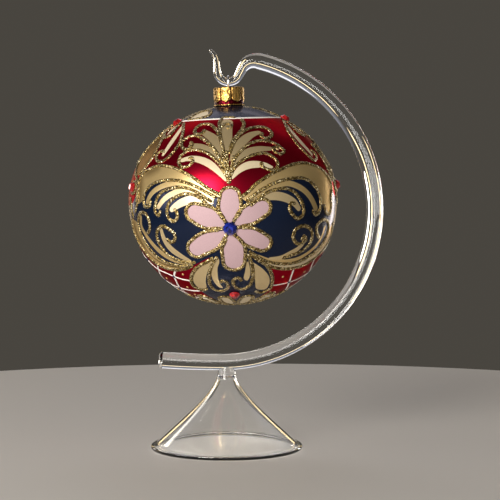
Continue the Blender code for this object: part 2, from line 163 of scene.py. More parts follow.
GLITTER_LINES = {
    "fan_left_1": spots(
        -30, 629, -47, 552, -69, 476, -119, 398, -187, 357, -266, 358, -296, 394, -271, 434, -232, 444,
        -207, 424, -209, 401),
    "fan_left_2": spots(
        -31, 694, -63, 621, -108, 553, -163, 502, -218, 469, -282, 454, -326, 467, -348, 497, -333, 535,
        -299, 557, -266, 546, -260, 520, -284, 500),
    "fan_left_3": spots(
        -23, 744, -53, 680, -95, 626, -142, 587, -197, 567, -253, 564, -294, 580, -317, 610, -315, 646,
        -285, 677, -248, 671, -224, 644, -236, 617, -258, 622),
    "fan_mid_left": spots(-54, 523, -67, 468, -78, 400, -89, 332, -61, 295, -1, 292, 73, 301),
    "fan_mid_curl": spots(-61, 391, -47, 364, -11, 356, 19, 376, 1, 397, -28, 388),
    "fan_right_0": spots(1, 562, 26, 503, 66, 453, 112, 403, 133, 356, 121, 314),
    "fan_right_1": spots(
        -4, 603, 21, 533, 73, 462, 144, 418, 233, 400, 305, 409, 330, 445, 306, 482, 255, 496, 229, 475,
        257, 451),
    "fan_right_2": spots(
        6, 683, 31, 625, 67, 582, 118, 541, 178, 517, 243, 515, 295, 532, 333, 563, 347, 596, 318, 612,
        285, 599, 278, 572, 305, 566, 311, 588),
    "fan_right_3": spots(
        -4, 745, 22, 690, 58, 656, 104, 628, 155, 610, 213, 605, 252, 627, 275, 658, 272, 694, 244, 717,
        206, 710, 175, 684, 182, 661),
    "fan_stem_1": spots(-46, 559, -36, 642, -23, 719, -11, 792),
    "fan_stem_2": spots(23, 611, 9, 677, -4, 739, -11, 792),
    "fan_stem_3": spots(-24, 575, -16, 676, -11, 792),
    "arch_left_1": spots(
        -65, 848, -128, 808, -181, 764, -240, 726, -301, 694, -385, 668, -479, 663, -549, 681, -607, 711,
        -633, 761, -632, 821, -632, 886),
    "arch_left_2": spots(
        -76, 867, -133, 834, -188, 800, -247, 774, -310, 758, -371, 755, -437, 762, -499, 787, -539, 822,
        -553, 863, -542, 904, -500, 904, -486, 864),
    "arch_left_3": spots(
        -102, 892, -149, 856, -199, 823, -257, 803, -313, 801, -364, 811, -405, 828, -433, 859, -447, 899,
        -453, 931, -433, 955, -410, 926),
    "arch_left_4": spots(
        -124, 907, -166, 867, -216, 842, -262, 841, -310, 859, -346, 884, -364, 919, -366, 954, -348, 982,
        -320, 986, -302, 960, -307, 934, -325, 923),
    "arch_right_1": spots(
        48, 870, 92, 837, 131, 798, 178, 767, 234, 735, 302, 708, 376, 686, 457, 678, 532, 691, 603, 716,
        665, 753, 699, 797, 698, 849, 669, 901, 678, 945, 655, 985, 604, 969, 583, 931),
    "arch_right_2": spots(
        73, 894, 117, 861, 167, 829, 225, 800, 287, 781, 352, 772, 422, 774, 478, 800, 516, 838, 540, 885,
        549, 929, 537, 969, 503, 984, 475, 956),
    "arch_right_3": spots(
        93, 921, 137, 885, 187, 850, 245, 833, 304, 832, 352, 857, 385, 896, 406, 940, 406, 979, 371, 998,
        333, 973, 315, 941, 326, 915, 355, 919),
    "scroll_left_1": spots(
        -557, 1054, -520, 1023, -517, 979, -543, 944, -584, 938, -624, 963, -644, 1007, -639, 1058,
        -617, 1112, -581, 1163, -527, 1210, -451, 1238, -356, 1253, -273, 1241),
    "scroll_left_2": spots(
        -405, 1079, -383, 1102, -347, 1091, -338, 1060, -365, 1032, -403, 1014, -442, 1023, -469, 1053,
        -477, 1096, -466, 1140, -436, 1179, -387, 1208, -319, 1228, -247, 1228),
    "scroll_left_3": spots(
        -737, 970, -774, 1038, -751, 1101, -704, 1166, -645, 1229, -553, 1264, -446, 1279, -341, 1269,
        -276, 1248),
    "scroll_right_1": spots(
        590, 1118, 541, 1081, 534, 1045, 567, 1019, 625, 1019, 680, 1054, 688, 1106, 661, 1160, 594, 1205,
        513, 1245, 418, 1262, 318, 1261, 225, 1243, 139, 1203, 88, 1167),
    "scroll_right_2": spots(
        417, 1120, 439, 1101, 459, 1123, 421, 1142, 374, 1126, 354, 1094, 365, 1058, 405, 1041, 456, 1049,
        497, 1079, 511, 1120, 494, 1160, 447, 1190, 381, 1208, 311, 1224),
    "scroll_right_3": spots(
        745, 1035, 791, 1116, 756, 1180, 674, 1232, 581, 1276, 464, 1298, 352, 1297, 248, 1275, 162, 1233,
        101, 1189),
    "low_left_1": spots(
        -122, 1199, -179, 1228, -239, 1255, -301, 1297, -359, 1356, -384, 1414, -344, 1449, -259, 1438),
    "low_left_2": spots(
        -99, 1193, -135, 1234, -168, 1285, -197, 1345, -213, 1405, -191, 1449, -133, 1461, -72, 1432,
        -64, 1390, -94, 1366, -127, 1384),
    "low_right_1": spots(
        126, 1193, 174, 1227, 227, 1277, 281, 1338, 326, 1407, 347, 1471, 291, 1501, 194, 1477),
    "low_right_2": spots(
        83, 1185, 109, 1243, 126, 1307, 133, 1369, 117, 1421, 72, 1448, 17, 1438, -16, 1396, -9, 1358,
        25, 1347, 49, 1377),
    "crown_left": spots(
        -529, 298, -534, 226, -451, 181, -345, 187, -263, 258, -341, 285, -452, 296, -529, 298),
    "crown_right": spots(594, 147, 740, 184, 800, 239, 820, 285),
}


PETALS = {
    "top": ((1.9, 8.6, 7.2), spots(-14, 993, -13, 960, -11, 906, -9, 862)),
    "upper_right": ((1.6, 7.4, 6.2), spots(20, 1011, 71, 977, 119, 951, 159, 931)),
    "lower_right": ((1.7, 7.2, 6.2), spots(23, 1052, 81, 1080, 126, 1102, 168, 1124)),
    "bottom": ((1.9, 8.9, 8.1), spots(-11, 1075, -3, 1130, -1, 1181, -2, 1229)),
    "lower_left": ((1.7, 8.2, 6.8), spots(-51, 1056, -118, 1095, -174, 1119, -221, 1145)),
    "upper_left": ((1.6, 8.6, 6.7), spots(-51, 1014, -113, 981, -160, 961, -200, 944)),
}

# Curves that part the red grounds from the navy one, as (turn, fall) on the front half
ARCH_EDGE = spots(
    -900, 900, -760, 900, -680, 880, -635, 820, -610, 715, -540, 675, -460, 660, -380, 668, -300, 695,
    -240, 726, -180, 764, -128, 808, -60, 855, -10, 890, 45, 873, 90, 838, 130, 799, 180, 766, 234, 735,
    300, 708, 376, 686, 457, 678, 530, 691, 600, 715, 665, 753, 700, 800, 720, 870, 770, 900, 900, 900)
BAND_EDGE = spots(
    -900, 1130, -800, 1135, -730, 1145, -704, 1166, -645, 1229, -550, 1266, -446, 1280, -340, 1270,
    -270, 1248, -180, 1210, -100, 1180, 100, 1185, 160, 1233, 248, 1276, 350, 1296, 464, 1296, 580, 1274,
    674, 1230, 750, 1183, 800, 1145, 900, 1130)
FAN_EDGE = spots(
    -120, 1170, -180, 1228, -240, 1255, -300, 1297, -360, 1356, -384, 1414, -360, 1460, -330, 1570,
    330, 1570, 360, 1470, 326, 1407, 280, 1338, 227, 1277, 174, 1227, 120, 1170)
CREAM_STROKES = ("fan_left_3", "fan_right_3", "arch_left_4", "scroll_right_3")

# Motif above the stone of each side: the turn of its middle, its strokes, its glitter lines and the
# edge of its long leaf; all are repeated mirrored about the middle
SIDE_MOTIFS = {
    "left": (-68.0, {
        "leaf": ((1.2, 3.0, 2.0), spots(-489, 355, -458, 425, -454, 482, -458, 535, -467, 585)),
        "bud": ((1.0, 2.6, 1.4), spots(-600, 345, -602, 388, -595, 423)),
    }, [
        spots(
            -527, 328, -432, 391, -382, 457, -370, 523, -385, 570, -410, 608, -447, 632, -487, 631,
            -521, 605, -529, 577, -496, 560, -466, 574),
        spots(
            -562, 358, -606, 323, -656, 345, -676, 384, -671, 415, -624, 440, -567, 455, -534, 438,
            -543, 405, -562, 358),
    ], spots(-660, 420, -610, 460, -586, 500, -570, 540, -564, 585, -573, 625, -600, 670, -650, 715)),
    "right": (86.0, {
        "leaf": ((1.2, 3.0, 2.0), spots(602, 386, 559, 444, 551, 495, 557, 549, 572, 586, 586, 620)),
        "bud": ((1.0, 2.6, 1.4), spots(710, 365, 712, 410, 706, 455)),
    }, [
        spots(
            660, 337, 570, 390, 511, 444, 494, 501, 497, 558, 518, 599, 543, 638, 573, 664, 615, 649,
            631, 623, 621, 600, 603, 593),
        spots(660, 387, 722, 350, 771, 370, 770, 415, 746, 460, 693, 479, 650, 468, 644, 432, 660, 387),
    ], spots(845, 420, 820, 460, 805, 500, 790, 545, 780, 595, 774, 645, 777, 690, 805, 740)),
}
LEFT_SIDE_MIDDLE = -91.5
RIM_WIDTHS = (1.0, 2.0, 1.3)
# Strip of gold along the right rim, outlined in glitter, whose cream is a painted highlight
RIGHT_RIM_HIGHLIGHT_LEAF = spots(705, 540, 717, 597, 732, 644, 733, 692, 735, 742, 740, 774)
STONE_LINES = [
    spots(-750, 701, -675, 738, -629, 786, -613, 835, -628, 895, -665, 940),
    spots(-740, 850, -725, 890, -718, 930, -700, 970),
    spots(790, 745, 770, 790, 765, 840, 780, 890, 815, 935),
]
STONE_RINGS = [(-70.0, 79.3, 3.3), (84.0, 82.4, 3.3)]

# Trellis of the front, as (turn, fall); navy dots lie on its crossings and gold ones in its cells
TRELLIS = [
    spots(240, 1436, 340, 1434, 460, 1427, 610, 1406, 720, 1380, 810, 1357, 900, 1335),
    spots(460, 1566, 600, 1560, 720, 1546, 820, 1516, 900, 1490),
    spots(462, 1310, 500, 1374, 544, 1418, 631, 1471, 780, 1533, 840, 1564),
    spots(660, 1240, 700, 1295, 795, 1338, 900, 1400, 1010, 1480, 1120, 1566),
    spots(760, 1210, 830, 1186, 900, 1170),
    spots(
        -900, 1170, -840, 1195, -770, 1227, -723, 1259, -663, 1286, -581, 1307, -517, 1330, -455, 1350,
        -389, 1361, -320, 1366),
    spots(-900, 1335, -830, 1376, -740, 1412, -626, 1434, -549, 1450, -460, 1460, -360, 1460),
    spots(-900, 1490, -800, 1516, -680, 1546, -560, 1560, -440, 1566),
    spots(-420, 1250, -450, 1283, -512, 1330, -562, 1383, -626, 1434, -740, 1530),
    spots(-600, 1220, -632, 1255, -685, 1290, -790, 1342, -900, 1400, -1010, 1480, -1120, 1566),
    spots(900, 1135, 900, 1270, 900, 1400),
]
NAVY_DOTS = spots(
    537, 1416, 810, 1356, 780, 1533, 860, 1240, -776, 1218, -517, 1332, -830, 1374, -626, 1434, -745, 1532)
GOLD_DOTS = spots(
    397, 1360, 643, 1339, 700, 1465, 400, 1500, -400, 1312, -669, 1350, -477, 1422, -520, 1505, -800, 1460)
NAVY_DOT_RADIUS = 1.05 * MM
GOLD_DOT_RADIUS = 0.70 * MM
DOT_HEIGHT = 0.34 * MM
DOT_SINK = 0.1 * MM
DOT_SIDES = 10
DOT_RINGS = 3
FLOWER_MIDDLE = (-1.5, 103.2)
FLOWER_RAYS = (60, 2, -58, -120, -178, 122)
FLOWER_RAY_STEPS = (3.4, 5.0, 6.6)
POLE_LEAVES = 12
POLE_WIDTHS = (1.4, 4.4, 4.0)
POLE_GAP = 0.85 * MM
POLE_RING_FALL = 171.0
PETAL_GAP = 0.90 * MM

# Stand of clear glass: rod, then foot
ROD_DIAMETER = 0.0082
ARM_RADIUS = 0.0733
ARM_SWEEP = math.radians(166.0)
FOOT_MIDDLE = -0.014122
ARM_MIDDLE = -0.016322
TAIL_RADIUS = 0.4100
TAIL_LENGTH = 0.0305
TAIL_EDGE_ROUND = 0.0016
ARM_BOTTOM_HEIGHT = 0.0417
ROD_RUNS = [
    ("arc", ARM_RADIUS, ARM_SWEEP, 150, ROD_DIAMETER),
    ("arc", 0.0073, math.radians(76.0), 24, 0.0056),
    ("straight", 0.0038, 0.0, 6, 0.0048),
    ("arc", 0.0053, -math.radians(62.0), 16, 0.0041),
    ("arc", 0.0053, -math.radians(85.0), 20, 0.0041),
    ("straight", 0.0046, 0.0, 7, 0.0035),
    ("arc", 0.0081, math.radians(44.0), 14, 0.0018),
]
FOOT_RADIUS = 0.0366
FOOT_HEIGHT = 0.0376
FOOT_WALL = 0.0012
FOOT_BEAD = 0.0012
FOOT_FLAT = 0.0008
FOOT_NECK_RADIUS = 0.0042
FOOT_SLOPE_RUN = 0.0120
FOOT_NECK_RUN = 0.0106
FOOT_PLUG = 0.0022
WELD_DEPTH = 0.0029
INSIDE_SHARE = 0.980
ROD_SIDES = 112
ROD_FINENESS = 2
TAIL_STEPS = 30 * ROD_FINENESS
FOOT_SIDES = 160

# Cap and wire
CAP_RADIUS = 0.0073
CAP_HEIGHT = 0.0088
CAP_WALL = 0.0005
CAP_PANELS = 8
CAP_TURN = math.radians(10.5)
CAP_RAISE = 0.0003
CAP_SHOULDER = 0.0006
CAP_CORNER_FROM_TOP = 0.0058
CAP_POINT_DROP = 0.0016
CAP_RIM = 0.0006
WIRE_DIAMETER = 0.0009
WIRE_TAIL = 0.0040
LOOP_RADIUS = 0.0028
PANEL_COLUMNS = 28
PANEL_ROWS = 45
GROOVE_SHARE = 0.24
FLUTES = 3

# Stage: each light's name, place, width, height, power and colour, all aimed at the ornament
LIGHTS = (
    ("key", (-0.62, -1.02, 0.42), 0.54, 0.64, 16.5, (1.0, 0.96, 0.90)),
    ("right_strip", (0.66, 0.88, 0.06), 0.14, 0.42, 2.2, (1.0, 0.97, 0.93)),
    ("left_strip", (-0.70, 0.85, 0.30), 0.14, 0.60, 1.1, (1.0, 0.93, 0.82)),
    ("low_front", (-0.34, -0.98, 0.05), 0.80, 0.10, 1.8, (1.0, 0.98, 0.96)),
    ("behind_above", (0.0, 0.80, 1.02), 1.30, 0.44, 1.7, (0.96, 0.94, 1.0)),
    ("warm_right", (0.42, 1.15, 0.12), 0.08, 0.50, 0.34, (1.0, 0.76, 0.42)),
    ("warm_left", (-0.46, 1.15, 0.13), 0.08, 0.50, 0.34, (1.0, 0.76, 0.42)),
    ("warm_above", (0.0, 1.15, 0.46), 0.80, 0.05, 0.26, (1.0, 0.78, 0.44)),
    ("low_left", (-0.98, -0.34, 0.16), 0.44, 0.26, 1.5, (0.95, 0.94, 1.0)),
)
LIGHT_AIM = np.array([-0.01, 0.0, 0.11])
FLOOR_RADIUS = 0.36
FLOOR_SIDES = 96
FLOOR_DROP = 0.0002
CAMERA_PLACE = (-0.0029, -0.800, 0.1326)
CAMERA_DIP = 2.63


def colour_setting(name, description, default):
    """A colour for the sidebar."""
    return bpy.props.FloatVectorProperty(
        name=name, description=description, subtype="COLOR", size=3, min=0.0, max=1.0, default=default)


def length_setting(name, description, least, most, default):
    """A length for the sidebar."""
    return bpy.props.FloatProperty(
        name=name, description=description, unit="LENGTH", min=least, max=most, default=default)


class OrnamentColours(bpy.types.PropertyGroup):
    """Colours that a user would change."""

    red: colour_setting("Red ground", "Lacquer above the arches and under the trellis", (0.42, 0.0045, 0.024))
    navy: colour_setting("Navy ground", "Lacquer behind the flower and round the top", (0.004, 0.011, 0.033))
    gold: colour_setting("Gold paint", "Satin gold of the leaves and scrolls", (0.90, 0.655, 0.295))
    # Olive is also the colour that the painted shade on the arches and scrolls darkens to
    olive: colour_setting("Olive gold", "Dark gold of the long side leaves and the bands' inner lines",
                          (0.27, 0.165, 0.055))
    cream: colour_setting("Cream paint", "Pale gold of the brightest leaves", (0.92, 0.78, 0.52))
    line: colour_setting("Fine lines", "Pearly paint of the trellis and the ring", (1.0, 0.95, 0.87))
    pink: colour_setting("Pink paint", "Powdery pink of the petals", (0.53, 0.362, 0.383))
    floor: colour_setting("Floor", "Colour of the plain studio floor", (0.60, 0.57, 0.53))


class OrnamentSizes(bpy.types.PropertyGroup):
    """Sizes that a user would change."""

    glitter_width: length_setting("Glitter line width", "Width of the raised glitter lines",
                                  0.0005, 0.004, GLITTER_WIDTH)
    glitter_height: length_setting("Glitter line height", "Height of the raised glitter lines",
                                   0.0001, 0.001, GLITTER_HEIGHT)
    line_width: length_setting("Fine line width", "Width of the cream lines of the trellis",
                               0.0003, 0.003, LINE_WIDTH)
    floor_radius: length_setting("Floor radius", "Radius of the round studio floor", 0.2, 10.0, FLOOR_RADIUS)


# Curves and surfaces

def unit_spots(turn, fall):
    """Directions from the ball's centre: (sin fall sin turn, -sin fall cos turn, cos fall)."""
    turn = np.radians(turn)
    fall = np.radians(fall)
    return np.stack([np.sin(fall) * np.sin(turn), -np.sin(fall) * np.cos(turn), np.cos(fall)], axis=-1)


def unit(vectors):
    """Vectors drawn to a length of one."""
    return vectors / np.linalg.norm(vectors, axis=-1, keepdims=True)


def turn_fall(directions):
    """The turns and the falls of directions, in degrees."""
    turn = np.degrees(np.arctan2(directions[:, 0], -directions[:, 1]))
    return turn, np.degrees(np.arccos(directions[:, 2]))


def axes_at(turn, fall):
    """A direction from the ball's centre, and two square to it: across and up."""
    middle = unit_spots(turn, fall)
    across = unit(np.cross(middle, [0.0, 0.0, 1.0]))
    return middle, across, np.cross(across, middle)


def smooth_step(share):
    """Zero below zero, one above one, and a smooth rise between."""
    share = np.clip(share, 0, 1)
    return share**2 * (3 - 2 * share)


def ball_section(fall):
    """Radius and height of the ball's section at a fall in radians.

    Radius is R sin a. Height is the rise times cos a, less the shoulder drop times sin squared of 2a
    above the middle; below it is the drop times cos a.
    """
    radius = BALL_RADIUS * np.sin(fall)
    upper = BALL_TOP_RISE * np.cos(fall) - BALL_SHOULDER_DROP * np.sin(2 * fall) ** 2
    lower = BALL_BOTTOM_DROP * np.cos(fall)
    return radius, np.where(np.cos(fall) > 0, upper, lower)


def ball_spots(directions, lift=0.0):
    """Points over the ball's surface for directions, raised along the surface's own normal by a lift."""
    fall = np.arccos(np.clip(directions[..., 2], -1.0, 1.0))
    radius, height = ball_section(fall)
    flat = np.maximum(np.hypot(directions[..., 0], directions[..., 1]), 1e-9)
    east = directions[..., 0] / flat
    north = directions[..., 1] / flat
    rise = np.where(np.cos(fall) > 0, BALL_TOP_RISE, BALL_BOTTOM_DROP)
    out = np.sin(fall) / BALL_RADIUS
    up = np.cos(fall) / rise
    size = np.hypot(out, up)
    radius = radius + lift * out / size
    height = height + lift * up / size
    return np.stack([radius * east, radius * north, height], axis=-1)


def hung(points):
    """The ball's own points in the row frame: turned by the lean about the point it hangs from."""
    sine, cosine = math.sin(BALL_LEAN), math.cos(BALL_LEAN)
    lowered = points - np.array([0.0, 0.0, HANG_HEIGHT])
    turned = np.stack([
        lowered[..., 0] * cosine - lowered[..., 2] * sine,
        lowered[..., 1],
        lowered[..., 0] * sine + lowered[..., 2] * cosine,
    ], axis=-1)
    return turned + HANG_POINT


def smooth_line(points, step):
    """A cubic Hermite curve through points, with slopes from its neighbours, read at even steps."""
    points = np.asarray(points, float)
    gaps = np.maximum(np.linalg.norm(np.diff(points, axis=0), axis=1), 1e-9)
    place = np.concatenate([[0.0], np.cumsum(gaps)])
    runs = np.diff(points, axis=0) / gaps[:, None]
    slopes = np.empty_like(points)
    slopes[0], slopes[-1] = runs[0], runs[-1]
    if len(points) > 2:
        before, after = gaps[:-1, None], gaps[1:, None]
        slopes[1:-1] = (runs[1:] * before + runs[:-1] * after) / (before + after)
    count = max(3, int(round(place[-1] / step)) + 1)
    read = np.linspace(0.0, place[-1], count)
    piece = np.clip(np.searchsorted(place, read, side="right") - 1, 0, len(gaps) - 1)
    share = ((read - place[piece]) / gaps[piece])[:, None]
    span = gaps[piece][:, None]
    start, end = points[piece], points[piece + 1]
    near, far = slopes[piece] * span, slopes[piece + 1] * span
    return (
        (2 * share**3 - 3 * share**2 + 1) * start + (share**3 - 2 * share**2 + share) * near
        + (3 * share**2 - 2 * share**3) * end + (share**3 - share**2) * far
    )


def ball_line(line, step, facing=0.0):
    """A smooth run of directions through (turn, fall) points, turned to one facing of the ball."""
    line = np.asarray(line, float)
    return unit(smooth_line(unit_spots(line[:, 0] + facing, line[:, 1]), step / BALL_RADIUS))


def stroke_widths(widths, count):
    """Width along a stroke: a smooth rise from the root to the middle, then a fall to the tip."""
    share = np.linspace(0.0, 1.0, count)
    root, middle, tip = widths
    rise = np.sin(np.clip(share / 0.55, 0, 1) * math.pi / 2) ** 1.1
    fall = np.clip((share - 0.55) / 0.45, 0, 1) ** 1.8
    return (root + (middle - root) * rise) + (tip - middle) * fall


def stroke_depth(spots, line, half_widths):
    """Depth of points inside a stroke, in the line's own unit: half its width less the distance."""
    start, along = line[:-1], np.diff(line, axis=0)
    length = np.maximum((along**2).sum(axis=1), 1e-18)
    share = np.clip(((spots[:, None] - start) * along).sum(axis=2) / length, 0.0, 1.0)
    gap = np.linalg.norm(spots[:, None] - start - share[..., None] * along, axis=2)
    half = half_widths[:-1] + share * np.diff(half_widths)
    return (half - gap).max(axis=1)


def add_stroke(depths, directions, line, half_widths):
    """Keep the greater depth, in millimetres, in each array where a stroke comes near the directions."""
    middle = unit(line.mean(axis=0))
    reach = np.arccos(np.clip(line @ middle, -1, 1)).max() + half_widths.max() + 0.07
    near = np.nonzero(directions @ middle > math.cos(min(reach, math.pi)))[0]
    if len(near) == 0:
        return
    found = stroke_depth(directions[near], line, half_widths) * BALL_RADIUS / MM
    for depth in depths:
        depth[near] = np.maximum(depth[near], found)


def edge_depth(turn, fall, edge):
    """How far above an edge curve a spot is, in millimetres; the edge is (turn, fall) on one half."""
    edge = np.array(edge, float)
    return (np.interp(turn, edge[:, 0], edge[:, 1]) - fall) * math.pi / 180 * BALL_RADIUS / MM


def outline_depth(turn, fall, outline):
    """Signed depth in millimetres inside a closed outline of (turn, fall) corners."""
    outline = np.array(outline, float)
    ends = np.roll(outline, -1, axis=0)
    inside = np.zeros(len(turn), bool)
    gap = np.full(len(turn), 1e9)
    squeeze = np.sin(np.radians(fall))
    for (x0, y0), (x1, y1) in zip(outline, ends):
        crosses = (y0 > fall) != (y1 > fall)
        slant = (x1 - x0) * (fall - y0) / ((y1 - y0) or 1e-9) + x0
        inside ^= crosses & (turn < slant)
        along_x, along_y = (x1 - x0) * squeeze, y1 - y0
        out_x, out_y = (turn - x0) * squeeze, fall - y0
        length = np.maximum(along_x**2 + along_y**2, 1e-9)
        share = np.clip((out_x * along_x + out_y * along_y) / length, 0, 1)
        gap = np.minimum(gap, np.hypot(out_x - share * along_x, out_y - share * along_y))
    return np.where(inside, gap, -gap) * math.pi / 180 * BALL_RADIUS / MM


def add_patch(depths, turn, fall, outline, facing=0.0):
    """Keep the greater depth in each array of depths where a smoothed closed outline comes near."""
    outline = np.array(outline, float)
    outline = smooth_line(np.concatenate([outline, outline[:1]]), 1.6)[:-1]
    middle = outline[:, 0].mean()
    local = (turn - facing - middle + 180.0) % 360.0 - 180.0 + middle
    near = np.nonzero(
        (local > outline[:, 0].min() - 6) & (local < outline[:, 0].max() + 6)
        & (fall > outline[:, 1].min() - 4) & (fall < outline[:, 1].max() + 4))[0]
    found = outline_depth(local[near], fall[near], outline)
    for depth in depths:
        depth[near] = np.maximum(depth[near], found)


def mirrored(line, middle):
    """A line of (turn, fall) on the other side of a middle turn."""
    return [(2 * middle - turn, fall) for turn, fall in line]


def ways(line, middle):
    """A side's line, its mirror, and on the left also its mirror beside the back."""
    beside = [mirrored(line, LEFT_SIDE_MIDDLE)] if middle < 0 else []
    return [line, mirrored(line, middle), *beside]


# Meshes

def mesh_piece(name, points, quads, triangles, look, smooth=True):
    """Mesh object at the origin from arrays of points, four-sided faces and three-sided faces."""
    data = bpy.data.meshes.new(name)
    quads = np.asarray(quads, np.int32).reshape(-1, 4)
    triangles = np.asarray(triangles, np.int32).reshape(-1, 3)
    corners = np.concatenate([quads.ravel(), triangles.ravel()])
    totals = np.concatenate([np.full(len(quads), 4), np.full(len(triangles), 3)]).astype(np.int32)
    starts = np.concatenate([[0], np.cumsum(totals)[:-1]]).astype(np.int32)
    data.vertices.add(len(points))
    data.vertices.foreach_set("co", np.asarray(points, np.float32).ravel())
    data.loops.add(len(corners))
    data.loops.foreach_set("vertex_index", corners.astype(np.int32))
    data.polygons.add(len(totals))
    data.polygons.foreach_set("loop_start", starts)
    data.polygons.foreach_set("use_smooth", np.full(len(totals), smooth))
    data.update(calc_edges=True)
    data.validate()
    data.materials.append(look)
    piece = bpy.data.objects.new(name, data)
    bpy.context.scene.collection.objects.link(piece)
    return piece


def grid_faces(rows, columns, first=0):
    """Faces of a grid of rows of points, each row closed round on itself."""
    row = np.arange(rows - 1)[:, None] * columns
    here = np.arange(columns)[None, :]
    following = (here + 1) % columns
    faces = np.stack([row + here, row + following, row + columns + following, row + columns + here], axis=-1)
    return faces.reshape(-1, 4) + first


def closed_tube(rings):
    """Points, quads and end triangles of a tube from rings (rows, columns, 3), each end drawn to a pole."""
    rows, columns, _ = rings.shape
    points = np.concatenate([rings.reshape(-1, 3), rings[0].mean(axis=0)[None], rings[-1].mean(axis=0)[None]])
    here = np.arange(columns)
    following = (here + 1) % columns
    first, last = rows * columns, rows * columns + 1
    start = np.stack([np.full(columns, first), following, here], axis=-1)
    base = (rows - 1) * columns
    end = np.stack([np.full(columns, last), base + here, base + following], axis=-1)
    return points, grid_faces(rows, columns), np.concatenate([start, end])


def join_parts(parts):
    """One set of points, quads and triangles from several."""
    points, quads, triangles = [], [], []
    first = 0
    for part_points, part_quads, part_triangles in parts:
        points.append(part_points)
        quads.append(np.asarray(part_quads).reshape(-1, 4) + first)
        triangles.append(np.asarray(part_triangles).reshape(-1, 3) + first)
        first += len(part_points)
    return np.concatenate(points), np.concatenate(quads), np.concatenate(triangles)


def point_values(piece, name, values):
    """Store one number for each point of a piece."""
    layer = piece.data.attributes.new(name, "FLOAT", "POINT")
    layer.data.foreach_set("value", np.asarray(values, np.float32))


def ribbed_line(directions, width, height, grain, sides, rng):
    """A raised line on the ball: a half ellipse over its width, drawn in at both ends.

    The ring of each station runs from one foot over the crown to the other, and its feet lie a
    little under the surface. Grain moves each point at random.
    """
    ahead = np.gradient(directions, axis=0)
    ahead /= np.maximum(np.linalg.norm(ahead, axis=1), 1e-9)[:, None]
    side = np.cross(directions, ahead)
    count = len(directions)
    run = np.linalg.norm(np.diff(directions, axis=0), axis=1) * BALL_RADIUS
    place = np.concatenate([[0.0], np.cumsum(run)])
    from_end = np.minimum(place, place[-1] - place)
    draw = np.sqrt(np.clip(1 - (1 - np.clip(from_end / (width * 0.5), 0, 1)) ** 2, 0.02, 1))
    angle = np.linspace(-0.12 * math.pi, 1.12 * math.pi, sides)
    across = -np.cos(angle) * width / 2
    lift = np.where(np.sin(angle) > 0, np.sin(angle), np.sin(angle) * 0.5) * height
    shake = rng.normal(0.0, 1.0, (count, sides, 2)) * grain
    crown = (np.sin(angle) > 0.2)[None, :]
    across = across[None, :] * draw[:, None] + shake[..., 0] * 0.7
    lift = lift[None, :] * draw[:, None] + np.where(crown, np.abs(shake[..., 1]) * 0.9 - grain * 0.4, 0.0)
    out = unit(directions[:, None] + side[:, None] * (across / BALL_RADIUS)[..., None])
    return closed_tube(ball_spots(out, lift))


def ball_dot(turn, fall, radius):
    """A low dome on the ball: its height times the root of one less the distance squared."""
    middle, across, up = axes_at(turn, fall)
    angle = np.arange(DOT_SIDES)[:, None] * 2 * math.pi / DOT_SIDES
    circle = (np.cos(angle) * across + np.sin(angle) * up) * radius / BALL_RADIUS
    rows = []
    for share in np.linspace(1.0, 1.0 / DOT_RINGS, DOT_RINGS):
        sunk = DOT_SINK if share == 1.0 else 0.0
        rows.append(ball_spots(unit(middle + circle * share), DOT_HEIGHT * math.sqrt(1 - share**2) - sunk))
    under = ball_spots(middle[None].repeat(DOT_SIDES, 0), -DOT_SINK)
    return closed_tube(np.stack([(under + rows[0]) / 2] + rows)[:, ::-1])


def petal_outline(line, half_widths, gap):
    """Closed run of directions round a petal: both its edges and a half circle at its tip."""
    ahead = unit(np.gradient(line, axis=0))
    side = np.cross(line, ahead)
    half = (half_widths + gap)[:, None]
    angle = np.linspace(0.0, math.pi, 11)[1:-1, None]
    tip = line[-1] + half[-1] * (side[-1] * np.cos(angle) + ahead[-1] * np.sin(angle))
    return unit(np.concatenate([line + side * half, tip, (line - side * half)[::-1]]))


# Materials

def new_material(name):
    """A new material, its node tree and its Principled shader."""
    look = bpy.data.materials.new(name)
    look.use_nodes = True
    return look, look.node_tree, look.node_tree.nodes["Principled BSDF"]


def put(tree, value, socket):
    """Link a value to a socket, or set it there if it is plain."""
    if isinstance(value, bpy.types.NodeSocket):
        tree.links.new(value, socket)
    else:
        socket.default_value = value


def node(tree, kind, settings=None, **inputs):
    """Add a node with its settings, and give its inputs by name, or by place as i0, i1 and so on."""
    made = tree.nodes.new(kind)
    for key, value in (settings or {}).items():
        setattr(made, key, value)
    for key, value in inputs.items():
        place = int(key[1:]) if key[0] == "i" and key[1:].isdigit() else key.replace("_", " ")
        put(tree, value, made.inputs[place])
    return made


def arithmetic(tree, operation, *values):
    """One step of arithmetic on numbers."""
    made = node(tree, "ShaderNodeMath", {"operation": operation})
    for value, socket in zip(values, made.inputs):
        put(tree, value, socket)
    return made.outputs[0]


def smooth_range(tree, value, low, high):
    """A smooth step from zero at one value to one at another."""
    return node(tree, "ShaderNodeMapRange", {"interpolation_type": "SMOOTHSTEP"}, Value=value,
                From_Min=low, From_Max=high).outputs["Result"]


def stored(tree, name):
    """A number stored at the points of a piece."""
    return node(tree, "ShaderNodeAttribute", {"attribute_name": name}).outputs["Fac"]


def painted_mask(tree, name, softness=0.10):
    """One where a stored depth is above zero; the edge is soft over a few tenths of a millimetre."""
    return smooth_range(tree, stored(tree, name), -softness, softness)


def mix_colour(tree, factor, first, second, blend="MIX"):
    """Mix two colours by a factor."""
    made = node(tree, "ShaderNodeMix", {"data_type": "RGBA", "blend_type": blend}, i0=factor)
    for place, value in ((6, first), (7, second)):
        plain = not isinstance(value, bpy.types.NodeSocket)
        put(tree, (*value[:3], 1.0) if plain else value, made.inputs[place])
    return made.outputs[2]


def mix_value(tree, factor, first, second):
    """Mix two numbers by a factor."""
    return node(tree, "ShaderNodeMix", {"data_type": "FLOAT"}, i0=factor, i2=first, i3=second).outputs[0]


